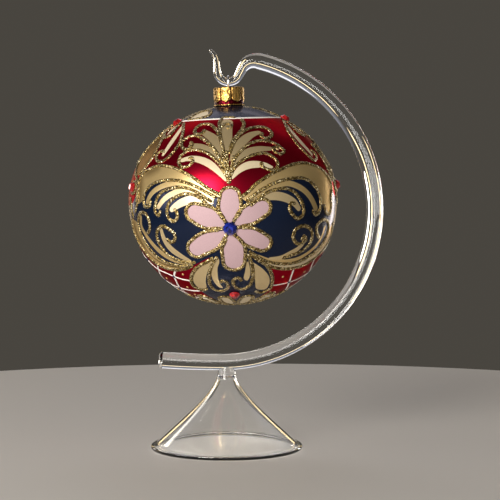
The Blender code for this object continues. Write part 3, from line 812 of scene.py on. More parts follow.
def ramp(tree, factor, stops):
    """A colour that runs through (place, colour) stops."""
    made = node(tree, "ShaderNodeValToRGB", Fac=factor)
    elements = made.color_ramp.elements
    while len(elements) < len(stops):
        elements.new(0.5)
    for element, (place, colour) in zip(elements, stops):
        element.position = place
        element.color = (*colour, 1.0)
    return made.outputs["Color"]


def set_roughness(tree, shader, value, low, high):
    """Roughness that runs with a value from low to high."""
    rough = node(tree, "ShaderNodeMapRange", Value=value, To_Min=low, To_Max=high)
    tree.links.new(rough.outputs["Result"], shader.inputs["Roughness"])


def set_bump(tree, shader, height, distance, strength):
    """Shallow relief from a height."""
    bump = node(tree, "ShaderNodeBump", Height=height, Distance=distance, Strength=strength)
    tree.links.new(bump.outputs["Normal"], shader.inputs["Normal"])


def grain_group():
    """Node group of fine grain: a soft cloud and a fine speckle over Object coordinates."""
    group = bpy.data.node_groups.new("paint_grain", "ShaderNodeTree")
    face = group.interface
    for name, default in (("Cloud Scale", 60.0), ("Speckle Scale", 2600.0)):
        socket = face.new_socket(name=name, in_out="INPUT", socket_type="NodeSocketFloat")
        socket.default_value = default
    for name in ("Cloud", "Speckle"):
        face.new_socket(name=name, in_out="OUTPUT", socket_type="NodeSocketFloat")
    start = group.nodes.new("NodeGroupInput")
    end = group.nodes.new("NodeGroupOutput")
    spot = node(group, "ShaderNodeTexCoord").outputs["Object"]
    for place, detail in enumerate((3.0, 1.0)):
        noise = node(group, "ShaderNodeTexNoise", Vector=spot, Scale=start.outputs[place], Detail=detail)
        group.links.new(noise.outputs["Fac"], end.inputs[place])
    return group


def grain(tree, cloud_scale, speckle_scale):
    """Place the grain group and give its cloud and speckle."""
    made = tree.nodes.new("ShaderNodeGroup")
    made.node_tree = bpy.data.node_groups.get("paint_grain") or grain_group()
    made.inputs[0].default_value = cloud_scale
    made.inputs[1].default_value = speckle_scale
    return made.outputs[0], made.outputs[1]


def toned(colour, share):
    """A colour times a share, up to full brightness."""
    return [min(1.0, part * share) for part in colour]


def painted_glass():
    """Silvered glass under lacquers: red and navy grounds, satin gold and cream, and powdery pink."""
    colours = bpy.context.scene.ornament_colours
    look, tree, shader = new_material("painted_glass")
    cloud, speckle = grain(tree, 55.0, 3200.0)
    ground, gold_mask, pink_mask = (painted_mask(tree, name) for name in ("ground", "gold", "pink"))
    cream = painted_mask(tree, "cream", 0.25)
    red = mix_colour(tree, cloud, toned(colours.red, 0.80), colours.red)
    navy = mix_colour(tree, cloud, colours.navy, toned(colours.navy, 1.35))
    colour = mix_colour(tree, ground, navy, red)
    # Painted sheen: gold lightened toward cream on the strokes and patches that catch more light
    pale = [(1 - PAINTED_SHEEN_SHARE) * a + PAINTED_SHEEN_SHARE * b for a, b in zip(colours.gold, colours.cream)]
    gold = mix_colour(tree, painted_mask(tree, "pale", 0.3), colours.gold, pale)
    # Painted shade: gold darkened softly toward olive brown at the ends of the arches and scrolls
    painted_shade = arithmetic(tree, "MULTIPLY", painted_mask(tree, "painted_shade", PAINTED_SHADE_SOFTNESS), PAINTED_SHADE_SHARE)
    gold = mix_colour(tree, painted_shade, gold, colours.olive)
    gold = mix_colour(tree, painted_mask(tree, "olive", 0.30), gold, colours.olive)
    gold = mix_colour(tree, cream, gold, colours.cream)
    brushed = mix_colour(tree, speckle, [0.74, 0.72, 0.68], [1.0, 1.0, 1.0])
    gold = mix_colour(tree, 0.55, gold, brushed, "MULTIPLY")
    pink = mix_colour(tree, speckle, toned(colours.pink, 0.86), toned(colours.pink, 1.12))
    colour = mix_colour(tree, gold_mask, colour, gold)
    colour = mix_colour(tree, pink_mask, colour, pink)
    tree.links.new(colour, shader.inputs["Base Color"])
    for name, on_navy, on_red, on_gold, on_pink in (
            ("Metallic", 0.45, 0.95, mix_value(tree, cream, 0.80, 0.38), 0.05),
            ("Roughness", 0.22, 0.30, 0.37, 0.52), ("Coat Weight", 0.18, 0.0, 0.0, 0.0)):
        value = mix_value(tree, ground, on_navy, on_red)
        value = mix_value(tree, gold_mask, value, on_gold)
        tree.links.new(mix_value(tree, pink_mask, value, on_pink), shader.inputs[name])
    shader.inputs["Coat Roughness"].default_value = 0.22
    shader.inputs["Specular Tint"].default_value = (0.50, 0.40, 0.38, 1.0)
    painted = arithmetic(tree, "MAXIMUM", gold_mask, pink_mask)
    raised = arithmetic(tree, "MULTIPLY_ADD", speckle, 0.25, painted)
    set_bump(tree, shader, raised, 0.00003, 0.6)
    return look


def glitter_paint():
    """Glitter in glue: cells of mixed gold, dark olive to bright, with painted glints and dark reflections.
    """
    look, tree, shader = new_material("gold_glitter")
    spot = node(tree, "ShaderNodeTexCoord").outputs["Object"]
    cells = node(tree, "ShaderNodeTexVoronoi", Vector=spot, Scale=2300.0)
    pick = node(tree, "ShaderNodeSeparateColor", Color=cells.outputs["Color"])
    # Cell tones: mixed gold flakes, and painted glints and dark reflections of facets turned to and from the
    # light
    tone = ramp(tree, pick.outputs[0], [
        (0.0, (0.026, 0.016, 0.005)), (0.28, (0.13, 0.080, 0.022)), (0.56, (0.33, 0.225, 0.070)),
        (0.80, (0.58, 0.43, 0.16)), (0.94, (1.0, 0.86, 0.55))])
    tree.links.new(tone, shader.inputs["Base Color"])
    shader.inputs["Metallic"].default_value = 0.9
    set_roughness(tree, shader, pick.outputs[1], 0.18, 0.50)
    set_bump(tree, shader, cells.outputs["Distance"], 0.00025, 0.8)
    return look


def clouded_look(name, scales, dark, bright, rough, metal=0.0):
    """Two tones in a soft cloud, with a roughness that runs with the fine speckle."""
    look, tree, shader = new_material(name)
    cloud, speckle = grain(tree, *scales)
    tree.links.new(mix_colour(tree, cloud, dark, bright), shader.inputs["Base Color"])
    shader.inputs["Metallic"].default_value = metal
    set_roughness(tree, shader, speckle, *rough)
    return look


def line_paint():
    """Cream relief paint of the fine lines, with small changes of tone."""
    line = bpy.context.scene.ornament_colours.line
    return clouded_look("cream_line_paint", (300.0, 4000.0), toned(line, 0.85), line, (0.30, 0.50))


def dot_paint(name, colour):
    """Glossy paint of the small dots, with a faint cloud of tone."""
    return clouded_look(name, (800.0, 4000.0), toned(colour, 0.8), colour, (0.20, 0.36))


def bright_wire():
    """Drawn silver wire with fine wear."""
    return clouded_look("silver_wire_drawn", (500.0, 3000.0), (0.62, 0.62, 0.65), (0.88, 0.88, 0.90),
                        (0.12, 0.30), 1.0)


def plain_floor():
    """Pale matt studio floor with a barely seen cloud."""
    floor = bpy.context.scene.ornament_colours.floor
    look, tree, shader = new_material("studio_floor")
    cloud = grain(tree, 2.0, 400.0)[0]
    tree.links.new(mix_colour(tree, cloud, toned(floor, 0.97), floor), shader.inputs["Base Color"])
    shader.inputs["Roughness"].default_value = 0.55
    return look


def clear_glass():
    """Clear lamp-worked glass with faint waves along it, which lets light through in its shadow."""
    look, tree, shader = new_material("clear_glass_rod")
    shader.inputs["Base Color"].default_value = (0.985, 0.990, 0.985, 1.0)
    shader.inputs["Transmission Weight"].default_value = 1.0
    shader.inputs["IOR"].default_value = 1.47
    cloud, speckle = grain(tree, 90.0, 900.0)
    set_roughness(tree, shader, speckle, 0.0, 0.004)
    set_bump(tree, shader, cloud, 0.0001, 0.05)
    shadow = node(tree, "ShaderNodeLightPath").outputs["Is Shadow Ray"]
    tree.links.new(mix_value(tree, shadow, 1.0, 0.15), shader.inputs["Alpha"])
    return look


def cap_gold():
    """Bright stamped gold with painted shade: dark grooves, and a dark red band under the panels' points."""
    look, tree, shader = new_material("gold_sheet_worked")
    cloud, speckle = grain(tree, 420.0, 1500.0)
    gold = mix_colour(tree, cloud, [0.42, 0.20, 0.035], [0.80, 0.51, 0.15])
    # Painted shade: darker in the grooves between the panels
    gold = mix_colour(tree, stored(tree, "ridge"), [0.055, 0.016, 0.003], gold)
    # Painted shade: dark red in the recessed band under the panel points, down to the rim
    gold = mix_colour(tree, painted_mask(tree, "panel", 0.12), [0.085, 0.004, 0.008], gold)
    tree.links.new(gold, shader.inputs["Base Color"])
    shader.inputs["Metallic"].default_value = 1.0
    set_roughness(tree, shader, speckle, 0.20, 0.38)
    set_bump(tree, shader, cloud, 0.0012, 0.8)
    return look


def foiled_stone(name, dark, bright):
    """Cut stone over foil: a deep body with a painted sparkle, its tone changing from facet to facet."""
    look, tree, shader = new_material(name)
    spot = node(tree, "ShaderNodeTexCoord").outputs["Object"]
    cells = node(tree, "ShaderNodeTexVoronoi", Vector=spot, Scale=650.0)
    pick = node(tree, "ShaderNodeSeparateColor", Color=cells.outputs["Color"])
    # Painted reflection: tone stepping between dark and bright cells for facets that catch the light
    tree.links.new(mix_colour(tree, pick.outputs[0], dark, bright), shader.inputs["Base Color"])
    shader.inputs["Metallic"].default_value = 0.55
    set_roughness(tree, shader, pick.outputs[1], 0.04, 0.16)
    shader.inputs["Coat Weight"].default_value = 1.0
    shader.inputs["Coat Roughness"].default_value = 0.02
    return look


# Pieces

def painted_ball():
    """The ball with its neck: section carried round the axis, with the painted areas stored as depths."""
    neck_fall = math.asin((NECK_RADIUS + NECK_FILLET) / BALL_RADIUS)
    falls = np.linspace(neck_fall, math.pi, BALL_ROWS + 1)[:-1]
    turns = np.arange(BALL_COLUMNS) * 2 * math.pi / BALL_COLUMNS
    radius, height = ball_section(falls)
    base = height[0]
    top = CAP_BOTTOM + CAP_HEIGHT - CAP_WALL - 0.0003
    neck = [(NECK_RADIUS * 0.55, top), (NECK_RADIUS, top), (NECK_RADIUS, base + NECK_FILLET)]
    for degrees in (30, 60):
        turn = math.radians(degrees)
        neck.append((NECK_RADIUS + NECK_FILLET * (1 - math.cos(turn)),
                     base + NECK_FILLET * (1 - math.sin(turn))))
    radius = np.concatenate([[r for r, _ in neck], radius])
    height = np.concatenate([[h for _, h in neck], height])
    rows = len(radius)
    local = np.stack([
        radius[:, None] * np.sin(turns), -radius[:, None] * np.cos(turns),
        np.repeat(height[:, None], BALL_COLUMNS, axis=1),
    ], axis=-1)
    points, quads, ends = closed_tube(local)
    points[-1] = (0.0, 0.0, -BALL_BOTTOM_DROP)
    quads, ends = quads[:, ::-1], ends[:, ::-1]
    all_falls = np.concatenate([np.full(len(neck), neck_fall), falls])
    fall = np.concatenate([np.repeat(all_falls, BALL_COLUMNS), [0.0, math.pi]])
    turn = np.concatenate([np.tile(turns, rows), [0.0, 0.0]])
    piece = mesh_piece("painted_ball", hung(points), quads, ends, painted_glass())
    paint_ball(piece, np.degrees(turn), np.degrees(fall))
    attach(piece, BODY)
    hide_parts("glass_ball")


def paint_ball(piece, turn, fall):
    """Store how deep each point of the ball lies in each painted area."""
    directions = unit_spots(turn, fall)
    half_turn = (turn + 90.0) % 180.0 - 90.0
    red_above = np.minimum((fall - RING_FALL) * MM_A_DEGREE, edge_depth(half_turn, fall, ARCH_EDGE))
    red_below = np.minimum(-edge_depth(half_turn, fall, BAND_EDGE), (TRELLIS_END - fall) * MM_A_DEGREE)
    red_below = np.minimum(red_below, -outline_depth(half_turn, fall, FAN_EDGE))
    point_values(piece, "ground", np.clip(np.maximum(red_above, red_below), FAR_OFF, -FAR_OFF))
    gold, cream, pale, painted_shade, olive, pink = (np.full(len(turn), FAR_OFF) for _ in range(6))

    def stroke(line, widths, step, depths, facing=0.0):
        run = ball_line(line, step * MM, facing)
        add_stroke(depths, directions, run, stroke_widths(widths, len(run)) * MM / 2 / BALL_RADIUS)

    for facing in FACINGS:
        # Lower patches get the painted sheen; the crown leaf is cream paint
        for name, outline in GOLD_PATCHES.items():
            add_patch([gold, cream if name == "crown_left" else pale], turn, fall, outline, facing)
        for first, start, second, low, high in GOLD_BETWEEN:
            outline = GLITTER_LINES[first][start:] + GLITTER_LINES[second][low:high][::-1]
            add_patch([gold], turn, fall, outline, facing)
        # Cream strokes are cream paint; the painted-sheen strokes get a paler gold for the light they catch
        for name, (widths, line) in GOLD_STROKES.items():
            depths = [gold] + [cream] * (name in CREAM_STROKES) + [pale] * (name in PAINTED_SHEEN_STROKES)
            stroke(line, widths, 1.0, depths, facing)
        # Painted shade: wide soft strokes that darken the gold at the arch and scroll ends
        for line in PAINTED_SHADE_LINES:
            stroke(line, (3.0, 4.0, 3.0), 1.0, [painted_shade], facing)
        for line in OLIVE_LINES:
            stroke(line, (0.7, 1.0, 0.6), 1.0, [olive], facing)
        for widths, line in PETALS.values():
            stroke(line, widths, 0.8, [pink], facing)
    for middle, strokes, _, edge in SIDE_MOTIFS.values():
        add_patch([gold, olive], turn, fall, edge + mirrored(edge, middle)[::-1])
        for widths, line in strokes.values():
            for way in ways(line, middle):
                stroke(way, widths, 1.0, [gold, cream])
    # Right rim strip: gold, with cream paint standing for a painted highlight
    stroke(RIGHT_RIM_HIGHLIGHT_LEAF, RIM_WIDTHS, 1.0, [gold, cream])
    for line in pole_lines():
        stroke(line, POLE_WIDTHS, 0.8, [gold, cream])
    for name, depth in (("gold", gold), ("cream", cream), ("pale", pale), ("painted_shade", painted_shade),
                        ("olive", olive), ("pink", pink)):
        point_values(piece, name, np.clip(depth, FAR_OFF, -FAR_OFF))


def pole_lines():
    """Middle lines of the leaves round the lower pole, from near the pole outwards."""
    lines = []
    for around in (np.arange(POLE_LEAVES) + 0.5) * 360.0 / POLE_LEAVES:
        reach = 157.2 - 3.4 * abs(math.sin(math.radians(around)))
        lines.append([(around, 169.0), (around, 163.0), (around, reach)])
    return lines


def leaf_outline(line, widths, gap, facing=0.0, skip=0):
    """Run of directions round a leaf at a gap from its edge, less a few stations at its root."""
    run = ball_line(line, 0.8 * MM, facing)
    half = stroke_widths(widths, len(run)) * MM / 2 / BALL_RADIUS
    around = petal_outline(run[skip:], half[skip:], gap / BALL_RADIUS)
    return ball_line(np.stack(turn_fall(around), axis=1), GLITTER_STEP)


def glitter_runs(facing):
    """The raised glitter lines of one facing, as runs of directions."""
    runs = [ball_line(line, GLITTER_STEP, facing) for line in GLITTER_LINES.values()]
    runs += [leaf_outline(line, widths, PETAL_GAP, facing, 1) for widths, line in PETALS.values()]
    turn, fall = FLOWER_MIDDLE
    for ray in np.radians(FLOWER_RAYS):
        line = [(turn + out * math.cos(ray), fall - out * math.sin(ray)) for out in FLOWER_RAY_STEPS]
        runs.append(ball_line(line, GLITTER_STEP, facing))
    return runs


def side_runs():
    """The raised glitter lines of both sides and round their stones."""
    runs = [ball_line(line, GLITTER_STEP) for line in STONE_LINES]
    for middle, _, lines, edge in SIDE_MOTIFS.values():
        runs += [ball_line(way, GLITTER_STEP) for line in lines for way in ways(line, middle)]
        runs += [ball_line(way, GLITTER_STEP) for way in (edge, mirrored(edge, middle))]
    runs.append(leaf_outline(RIGHT_RIM_HIGHLIGHT_LEAF, RIM_WIDTHS, PETAL_GAP))
    return runs + [stone_ring(*place) for place in STONE_RINGS]


def stone_ring(turn, fall, radius):
    """Circle of directions round a stone."""
    middle, across, up = axes_at(turn, fall)
    angle = np.linspace(0, 2 * math.pi, 60)[:, None]
    return unit(middle + (across * np.cos(angle) + up * np.sin(angle)) * radius * MM / BALL_RADIUS)


def paint_piece(name, parts, look, smooth=True):
    """One piece of raised paint on the ball."""
    points, quads, triangles = join_parts(parts)
    piece = mesh_piece(name, hung(points), quads, triangles, look, smooth)
    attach(piece, BODY)


def glitter_piece(name, runs, seed):
    """One piece of raised glitter lines."""
    sizes = bpy.context.scene.ornament_sizes
    rng = np.random.default_rng(seed)
    parts = [
        ribbed_line(run, sizes.glitter_width, sizes.glitter_height, GLITTER_GRAIN, GLITTER_SIDES, rng)
        for run in runs]
    paint_piece(name, parts, bpy.data.materials.get("gold_glitter") or glitter_paint(), False)


def clip_trellis(line, facing):
    """The stretch of a trellis line that lies between the band, the fan and the lower ring."""
    run = ball_line(line, GLITTER_STEP)
    turn, fall = turn_fall(run)
    inside = (-edge_depth(turn, fall, BAND_EDGE) > 0.2) & (outline_depth(turn, fall, FAN_EDGE) < -0.2)
    kept = np.nonzero(inside & (fall < TRELLIS_END + 0.5))[0]
    if len(kept) < 6:
        return None
    run = run[kept[0]:kept[-1] + 1]
    sine, cosine = math.sin(math.radians(facing)), math.cos(math.radians(facing))
    return np.stack([
        run[:, 0] * cosine - run[:, 1] * sine, run[:, 0] * sine + run[:, 1] * cosine, run[:, 2]], axis=1)


def dots_piece(name, places, radius, look):
    """Low domes at (turn, fall) places, on the front and the back."""
    parts = [ball_dot(turn + facing, fall, radius) for facing in FACINGS for turn, fall in places]
    paint_piece(name, parts, look)


def level_ring(fall):
    """Closed ring of directions at one fall, its ends overlapping a little."""
    count = int(2 * math.pi * BALL_RADIUS * math.sin(math.radians(fall)) / GLITTER_STEP)
    return unit_spots(np.linspace(0.0, 361.0, count), np.full(count, fall))


def tube_along(points, headings, radii, sides):
    """Rings of a round tube in the XZ plane: each is square to its heading, of its own radius."""
    turn = np.arange(sides) * 2 * math.pi / sides
    out = radii[:, None] * np.cos(turn)
    side = radii[:, None] * np.sin(turn)
    return np.stack([
        points[:, 0, None] + out * np.sin(headings)[:, None], side,
        points[:, 1, None] - out * np.cos(headings)[:, None],
    ], axis=-1)


def run_arc(start, heading, radius, sweep, steps):
    """Points and headings along an arc in the XZ plane after its start; a positive sweep turns left."""
    side = 1 if sweep > 0 else -1
    centre = start + side * radius * np.array([-math.sin(heading), math.cos(heading)])
    angles = heading + sweep * np.arange(1, steps + 1) / steps
    return centre + side * radius * np.stack([np.sin(angles), -np.cos(angles)], axis=1), angles


def rod_line():
    """Centre line of the rod from its tail to its tip: points, headings and diameters."""
    lowest = np.array([ARM_MIDDLE, ARM_BOTTOM_HEIGHT])
    tail_points, tail_headings = run_arc(lowest, math.pi, TAIL_RADIUS, -TAIL_LENGTH / TAIL_RADIUS, TAIL_STEPS)
    points = [tail_points[::-1], lowest[None, :]]
    headings = [tail_headings[::-1] - math.pi, np.zeros(1)]
    diameters = [np.full(TAIL_STEPS + 1, ROD_DIAMETER)]
    here, heading, before = lowest, 0.0, ROD_DIAMETER
    for kind, size, sweep, steps, after in ROD_RUNS:
        steps = steps * ROD_FINENESS
        if kind == "arc":
            run_points, run_headings = run_arc(here, heading, size, sweep, steps)
        else:
            along = size * np.arange(1, steps + 1) / steps
            run_points = here + along[:, None] * np.array([math.cos(heading), math.sin(heading)])
            run_headings = np.full(steps, heading)
        points.append(run_points)
        headings.append(run_headings)
        diameters.append(before + (after - before) * np.arange(1, steps + 1) / steps)
        here, heading, before = run_points[-1], run_headings[-1], after
    return np.concatenate(points), np.concatenate(headings), np.concatenate(diameters)


def rod_parts():
    """The rod with a fire-rounded edge at its tail and a round tip."""
    points, headings, diameters = rod_line()
    radii = diameters / 2 * INSIDE_SHARE
    first = np.array([math.cos(headings[0]), math.sin(headings[0])])
    last = np.array([math.cos(headings[-1]), math.sin(headings[-1])])
    turn = np.linspace(0, math.pi / 2, 9)[1:]
    inner = points[0] + first * TAIL_EDGE_ROUND
    tail = inner - first * TAIL_EDGE_ROUND * np.sin(turn)[::-1, None]
    tail_radii = radii[0] - TAIL_EDGE_ROUND * (1 - np.cos(turn))[::-1]
    points[0] = inner
    tip_turn = np.linspace(0, math.pi / 2, 7)[1:-1]
    tip = points[-1] + last * radii[-1] * np.sin(tip_turn)[:, None]
    tip_radii = radii[-1] * np.cos(tip_turn)
    points = np.concatenate([tail, points, tip])
    headings = np.concatenate([np.full(len(tail), headings[0]), headings, np.full(len(tip), headings[-1])])
    radii = np.concatenate([tail_radii, radii, tip_radii])
    return closed_tube(tube_along(points, headings, radii, ROD_SIDES))


def foot_curve(share):
    """Outer flare of the foot from its rim (0) to its neck (1): a cubic curve in radius and height."""
    rim = FOOT_RADIUS - FOOT_BEAD
    radii = np.array([rim, rim - FOOT_SLOPE_RUN, FOOT_NECK_RADIUS, FOOT_NECK_RADIUS])
    heights = np.array([FOOT_BEAD, FOOT_BEAD + FOOT_SLOPE_RUN, FOOT_HEIGHT - FOOT_NECK_RUN, FOOT_HEIGHT])
    left = 1 - share
    weights = np.stack([left**3, 3 * left**2 * share, 3 * left * share**2, share**3], axis=-1)
    return weights @ radii, weights @ heights


def foot_parts():
    """The hollow foot: its closed section carried round, from inside the rod round the rim to the dome."""
    share = np.linspace(1.0, 0.045, 40)
    outer_r, outer_z = foot_curve(share)
    near_r, near_z = foot_curve(share - 0.001)
    far_r, far_z = foot_curve(share + 0.001)
    length = np.hypot(far_r - near_r, far_z - near_z)
    inner_r = outer_r - FOOT_WALL * (far_z - near_z) / length
    inner_z = outer_z + FOOT_WALL * (far_r - near_r) / length
    profile = [(0.3 * MM, FOOT_HEIGHT + WELD_DEPTH), (FOOT_NECK_RADIUS * 0.70, FOOT_HEIGHT + WELD_DEPTH),
               (FOOT_NECK_RADIUS * 0.95, FOOT_HEIGHT + WELD_DEPTH * 0.5)]
    profile += list(zip(outer_r, outer_z))
    rim_r = FOOT_RADIUS - FOOT_BEAD
    for degrees in range(90, -75, -12):
        turn = math.radians(degrees)
        profile.append((rim_r + FOOT_BEAD * math.cos(turn) * INSIDE_SHARE, FOOT_BEAD * (1 + math.sin(turn))))
    profile += [(rim_r + FOOT_FLAT / 2, 0.0001), (rim_r - FOOT_FLAT / 2, 0.0001)]
    ceiling = FOOT_HEIGHT - FOOT_PLUG
    dome_start = ceiling - 0.6 * inner_r[0]
    for r, z in list(zip(inner_r, inner_z))[::-1]:
        if z < dome_start - 0.0003:
            profile.append((r, z))
    dome_r = float(np.interp(dome_start, inner_z[::-1], inner_r[::-1]))
    for degrees in range(0, 85, 10):
        turn = math.radians(degrees)
        profile.append((dome_r * math.cos(turn) ** 0.7, dome_start + (ceiling - dome_start) * math.sin(turn)))
    profile.append((0.1 * MM, ceiling))
    profile = np.array(profile)
    turn = np.arange(FOOT_SIDES) * 2 * math.pi / FOOT_SIDES
    rings = np.stack([
        FOOT_MIDDLE + profile[:, 0, None] * np.cos(turn), profile[:, 0, None] * np.sin(turn),
        np.repeat(profile[:, 1, None], FOOT_SIDES, axis=1),
    ], axis=-1)
    points, quads, ends = closed_tube(rings)
    return points, quads[:, ::-1], ends[:, ::-1]


def join_glass(target, other):
    """Melt another closed piece into the target."""
    change = target.modifiers.new("melt", "BOOLEAN")
    change.operation = "UNION"
    change.solver = "EXACT"
    change.object = other
    with bpy.context.temp_override(object=target, active_object=target):
        bpy.ops.object.modifier_apply(modifier=change.name)
    bpy.data.objects.remove(other, do_unlink=True)


def glass_stand():
    """Smooth clear stand that stands for the faceted one."""
    look = clear_glass()
    stand = mesh_piece("clear_stand", *rod_parts(), look)
    foot = mesh_piece("foot", *foot_parts(), look)
    join_glass(stand, foot)
    stand.data.polygons.foreach_set("use_smooth", np.full(len(stand.data.polygons), True))
    stand.data.materials.clear()
    stand.data.materials.append(look)
    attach(stand, BODY)
    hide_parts("glass_stand")


def worked_cap():
    """Crown cap: a round wall raised in panels that end below in points, over a plain rim.

    The raise is a smooth step in from each groove, times a smooth step over the panel's end, which
    falls towards the middle of the panel.
    """
    columns = CAP_PANELS * PANEL_COLUMNS
    turn = np.arange(columns) * 2 * math.pi / columns
    across = ((turn - CAP_TURN) % (2 * math.pi / CAP_PANELS)) / (2 * math.pi / CAP_PANELS)
    edge = np.abs(across - 0.5) * 2
    groove = smooth_step((1 - edge) / GROOVE_SHARE)
    flute = 0.5 + 0.5 * np.cos(across * 2 * math.pi * FLUTES)
    top = CAP_BOTTOM + CAP_HEIGHT
    base = CAP_RADIUS - CAP_RAISE
    ends = top - CAP_CORNER_FROM_TOP - CAP_POINT_DROP * (1 - edge)
    rings, panel = [], []

    def ring(radius, height, inside=1.0):
        """Add a ring of the section, and how far inside the panels it lies."""
        radius, height = radius + np.zeros(columns), height + np.zeros(columns)
        rings.append(np.stack([radius * np.cos(turn), radius * np.sin(turn), height], axis=-1))
        panel.append(inside + np.zeros(columns))

    for share in (0.02, 0.35, 0.70, 0.90):
        ring((base - CAP_SHOULDER) * share, top)
    for bend in np.radians(range(0, 91, 15)):
        ring(base - CAP_SHOULDER + CAP_SHOULDER * math.sin(bend) + CAP_RAISE * groove * math.sin(bend),
             top - CAP_SHOULDER * (1 - math.cos(bend)))
    for height in np.linspace(top - CAP_SHOULDER, CAP_BOTTOM + CAP_RIM, PANEL_ROWS + 1)[1:]:
        over = smooth_step((height - ends) / (0.35 * MM) + 0.5)
        ring(base + CAP_RAISE * groove * over * (0.78 + 0.22 * flute), height, (height - ends) / MM)
    for out, share in ((0.7, 0.8), (1.0, 0.6), (1.0, 0.3), (0.9, 0.0)):
        ring(base + CAP_RAISE * out, CAP_BOTTOM + CAP_RIM * share)
    ring(base - CAP_WALL, CAP_BOTTOM)
    ring(base - CAP_WALL, top - CAP_WALL * 2)
    ring(0.2 * MM, top - CAP_WALL * 2)
    rings = np.stack(rings)
    points, quads, triangles = closed_tube(rings)
    piece = mesh_piece("worked_cap", hung(points), quads[:, ::-1], triangles[:, ::-1], cap_gold())
    # Masks for the cap's painted shade: the band under the panel points, and the grooves
    point_values(piece, "panel", np.clip(np.concatenate([np.concatenate(panel), [1.0, 1.0]]), -1, 1))
    point_values(piece, "ridge", np.concatenate([np.tile(groove, len(rings)), [1.0, 1.0]]))
    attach(piece, BODY)
    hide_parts("crown_cap")


def wire_loop():
    """Half ring of wire over the hook with two straight legs: a round tube along that line."""
    leg_end = CAP_BOTTOM + CAP_HEIGHT - WIRE_TAIL
    angle = np.linspace(math.pi, 0.0, 41)
    across = np.concatenate([[-LOOP_RADIUS], LOOP_RADIUS * np.cos(angle), [LOOP_RADIUS]])
    height = np.concatenate([[leg_end], HANG_HEIGHT + LOOP_RADIUS * np.sin(angle), [leg_end]])
    heading = np.concatenate([[math.pi / 2], angle - math.pi / 2, [-math.pi / 2]])
    rings = tube_along(np.stack([across, height], axis=1), heading,
                       np.full(len(across), WIRE_DIAMETER / 2 * INSIDE_SHARE), 20)
    rings = rings[..., [1, 0, 2]]
    points, quads, ends = closed_tube(rings)
    piece = mesh_piece("drawn_wire_loop", hung(points), quads[:, ::-1], ends[:, ::-1], bright_wire())
    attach(piece, BODY)
    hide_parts("hanger_loop")


# Stage

def set_floor():
    """Round plain floor, a little under the foot."""
    turn = np.arange(FLOOR_SIDES) * 2 * math.pi / FLOOR_SIDES
    shares = np.array([0.02, 0.1, 0.3, 0.6, 1.0]) * bpy.context.scene.ornament_sizes.floor_radius
    rings = np.stack([
        np.stack([r * np.cos(turn), r * np.sin(turn), np.full(FLOOR_SIDES, -FLOOR_DROP)], axis=-1)
        for r in shares])
    points, quads, ends = closed_tube(rings)
    floor = mesh_piece("floor", points[:-1], quads[:, ::-1], ends[:FLOOR_SIDES, ::-1], plain_floor())


def set_light(name, place, width, height, power, colour):
    """A soft light of the studio, turned to face the ornament."""
    lamp = bpy.data.lights.new(name, "AREA")
    lamp.shape = "RECTANGLE"
    lamp.size, lamp.size_y = width, height
    lamp.energy = power
    lamp.color = colour
    made = bpy.data.objects.new(name, lamp)
    made.location = place
    aim = LIGHT_AIM - np.array(place)
    made.rotation_euler = (
        math.atan2(math.hypot(aim[0], aim[1]), -aim[2]), 0.0, math.atan2(-aim[0], aim[1]))
    bpy.context.scene.collection.objects.link(made)


def surroundings():
    """Dim room: brighter in front at middle heights, with a pale glow behind and above."""
    room = bpy.data.worlds.new("studio")
    room.use_nodes = True
    tree = room.node_tree
    direction = node(tree, "ShaderNodeTexCoord").outputs["Generated"]
    parts = node(tree, "ShaderNodeSeparateXYZ", Vector=direction)
    front = smooth_range(tree, parts.outputs["Y"], 0.20, -0.75)
    height = node(tree, "ShaderNodeMapRange", Value=parts.outputs["Z"], From_Min=-1.0, From_Max=1.0)
    levels = [(0.0, 0.16), (0.44, 0.85), (0.62, 1.0), (0.82, 0.06)]
    level = ramp(tree, height.outputs["Result"], [(place, (tone, tone, tone)) for place, tone in levels])
    lit = arithmetic(tree, "MULTIPLY", front, level)
    tone = mix_colour(tree, lit, (0.066, 0.060, 0.050), (0.32, 0.31, 0.30))
    behind = smooth_range(tree, parts.outputs["Y"], 0.25, 0.60)
    above = smooth_range(tree, parts.outputs["Z"], 0.20, 0.50)
    tone = mix_colour(tree, arithmetic(tree, "MULTIPLY", behind, above), tone, (0.24, 0.25, 0.29))
    tree.links.new(tone, tree.nodes["Background"].inputs["Color"])
    return room


# Operators

class BuildBall(bpy.types.Operator):
    """Make the painted ball"""

    bl_idname = "ornament.ball"
    bl_label = "Painted ball"

    def execute(self, context):
        painted_ball()
        return {"FINISHED"}


class BuildGlitter(bpy.types.Operator):
    """Lay the raised glitter lines of the front and the back"""

    bl_idname = "ornament.glitter"
    bl_label = "Glitter lines"

    def execute(self, context):
        for name, facing, seed in (("glitter_front", 0.0, 11), ("glitter_back", 180.0, 12)):
            glitter_piece(name, glitter_runs(facing), seed)
        glitter_piece("glitter_sides", side_runs(), 14)
        leaves = [leaf_outline(line, POLE_WIDTHS, POLE_GAP) for line in pole_lines()]
        glitter_piece("glitter_pole", leaves + [level_ring(POLE_RING_FALL)], 13)
        return {"FINISHED"}


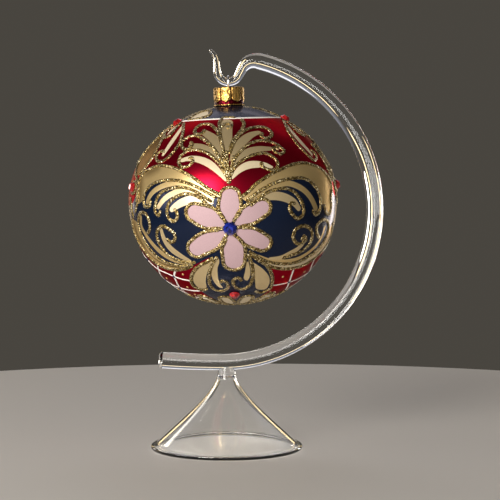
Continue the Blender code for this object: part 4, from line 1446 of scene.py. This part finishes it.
class BuildTrellis(bpy.types.Operator):
    """Draw the cream lines of the trellis and the ring round the top, with their dots"""

    bl_idname = "ornament.trellis"
    bl_label = "Cream lines"

    def execute(self, context):
        width = context.scene.ornament_sizes.line_width
        rng = np.random.default_rng(21)
        runs = [clip_trellis(line, facing) for facing in FACINGS for line in TRELLIS]
        parts = [
            ribbed_line(run, width, LINE_HEIGHT, 0.0, LINE_SIDES, rng) for run in runs if run is not None]
        parts.append(ribbed_line(level_ring(RING_FALL), RING_WIDTH, LINE_HEIGHT, 0.0, LINE_SIDES, rng))
        paint_piece("cream_lines", parts, line_paint())
        navy = dot_paint("navy_dot_paint", (0.010, 0.018, 0.085))
        gold = dot_paint("gold_dot_paint", (0.55, 0.38, 0.14))
        dots_piece("navy_dots", NAVY_DOTS, NAVY_DOT_RADIUS, navy)
        dots_piece("gold_dots", GOLD_DOTS, GOLD_DOT_RADIUS, gold)
        return {"FINISHED"}


class BuildCap(bpy.types.Operator):
    """Make the stamped cap and its wire loop"""

    bl_idname = "ornament.cap"
    bl_label = "Cap and wire"

    def execute(self, context):
        worked_cap()
        wire_loop()
        return {"FINISHED"}


class BuildStones(bpy.types.Operator):
    """Give the cut stones their foil-backed finish"""

    bl_idname = "ornament.stones"
    bl_label = "Cut stones"

    def execute(self, context):
        blue = foiled_stone("blue_stone_foiled", (0.003, 0.006, 0.07), (0.020, 0.045, 0.55))
        red = foiled_stone("red_stone_foiled", (0.34, 0.002, 0.008), (0.95, 0.03, 0.03))
        for name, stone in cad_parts.items():
            if "gem" in name:
                stone.data.materials.clear()
                stone.data.materials.append(blue if "blue" in name else red)
        return {"FINISHED"}


class BuildStand(bpy.types.Operator):
    """Make the smooth clear glass stand"""

    bl_idname = "ornament.stand"
    bl_label = "Glass stand"

    def execute(self, context):
        glass_stand()
        return {"FINISHED"}


class SetStage(bpy.types.Operator):
    """Set the floor, the soft lights, the surroundings and the camera"""

    bl_idname = "ornament.stage"
    bl_label = "Stage"

    def execute(self, context):
        set_floor()
        for light in LIGHTS:
            set_light(*light)
        context.scene.world = surroundings()
        context.scene.view_settings.view_transform = "Standard"
        camera = bpy.data.cameras.new("camera")
        camera.lens = 120.0
        camera.sensor_width = 36.0
        made = bpy.data.objects.new("camera", camera)
        made.location = CAMERA_PLACE
        made.rotation_euler = (math.radians(90.0 - CAMERA_DIP), 0.0, 0.0)
        context.scene.collection.objects.link(made)
        context.scene.camera = made
        return {"FINISHED"}


class OrnamentPanel(bpy.types.Panel):
    """Sizes, colours and pieces of the ornament"""

    bl_idname = "VIEW3D_PT_ornament"
    bl_label = "Ornament"
    bl_space_type = "VIEW_3D"
    bl_region_type = "UI"
    bl_category = "Ornament"

    def draw(self, context):
        layout = self.layout
        for group in (context.scene.ornament_sizes, context.scene.ornament_colours):
            for name in group.__annotations__:
                layout.prop(group, name)
        for operator in OPERATORS:
            layout.operator(operator.bl_idname)


OPERATORS = (BuildStand, BuildBall, BuildGlitter, BuildTrellis, BuildCap, BuildStones, SetStage)
CLASSES = (OrnamentColours, OrnamentSizes, *OPERATORS, OrnamentPanel)


def register():
    """Add the classes and the two groups of settings."""
    for item in CLASSES:
        bpy.utils.register_class(item)
    bpy.types.Scene.ornament_colours = bpy.props.PointerProperty(type=OrnamentColours)
    bpy.types.Scene.ornament_sizes = bpy.props.PointerProperty(type=OrnamentSizes)


def unregister():
    """Take the settings and the classes away again."""
    del bpy.types.Scene.ornament_sizes
    del bpy.types.Scene.ornament_colours
    for item in reversed(CLASSES):
        bpy.utils.unregister_class(item)


def main():
    """Make every piece in order."""
    register()
    bpy.ops.ornament.stand()
    bpy.ops.ornament.ball()
    bpy.ops.ornament.glitter()
    bpy.ops.ornament.trellis()
    bpy.ops.ornament.cap()
    bpy.ops.ornament.stones()
    bpy.ops.ornament.stage()


if __name__ == "__main__":
    main()
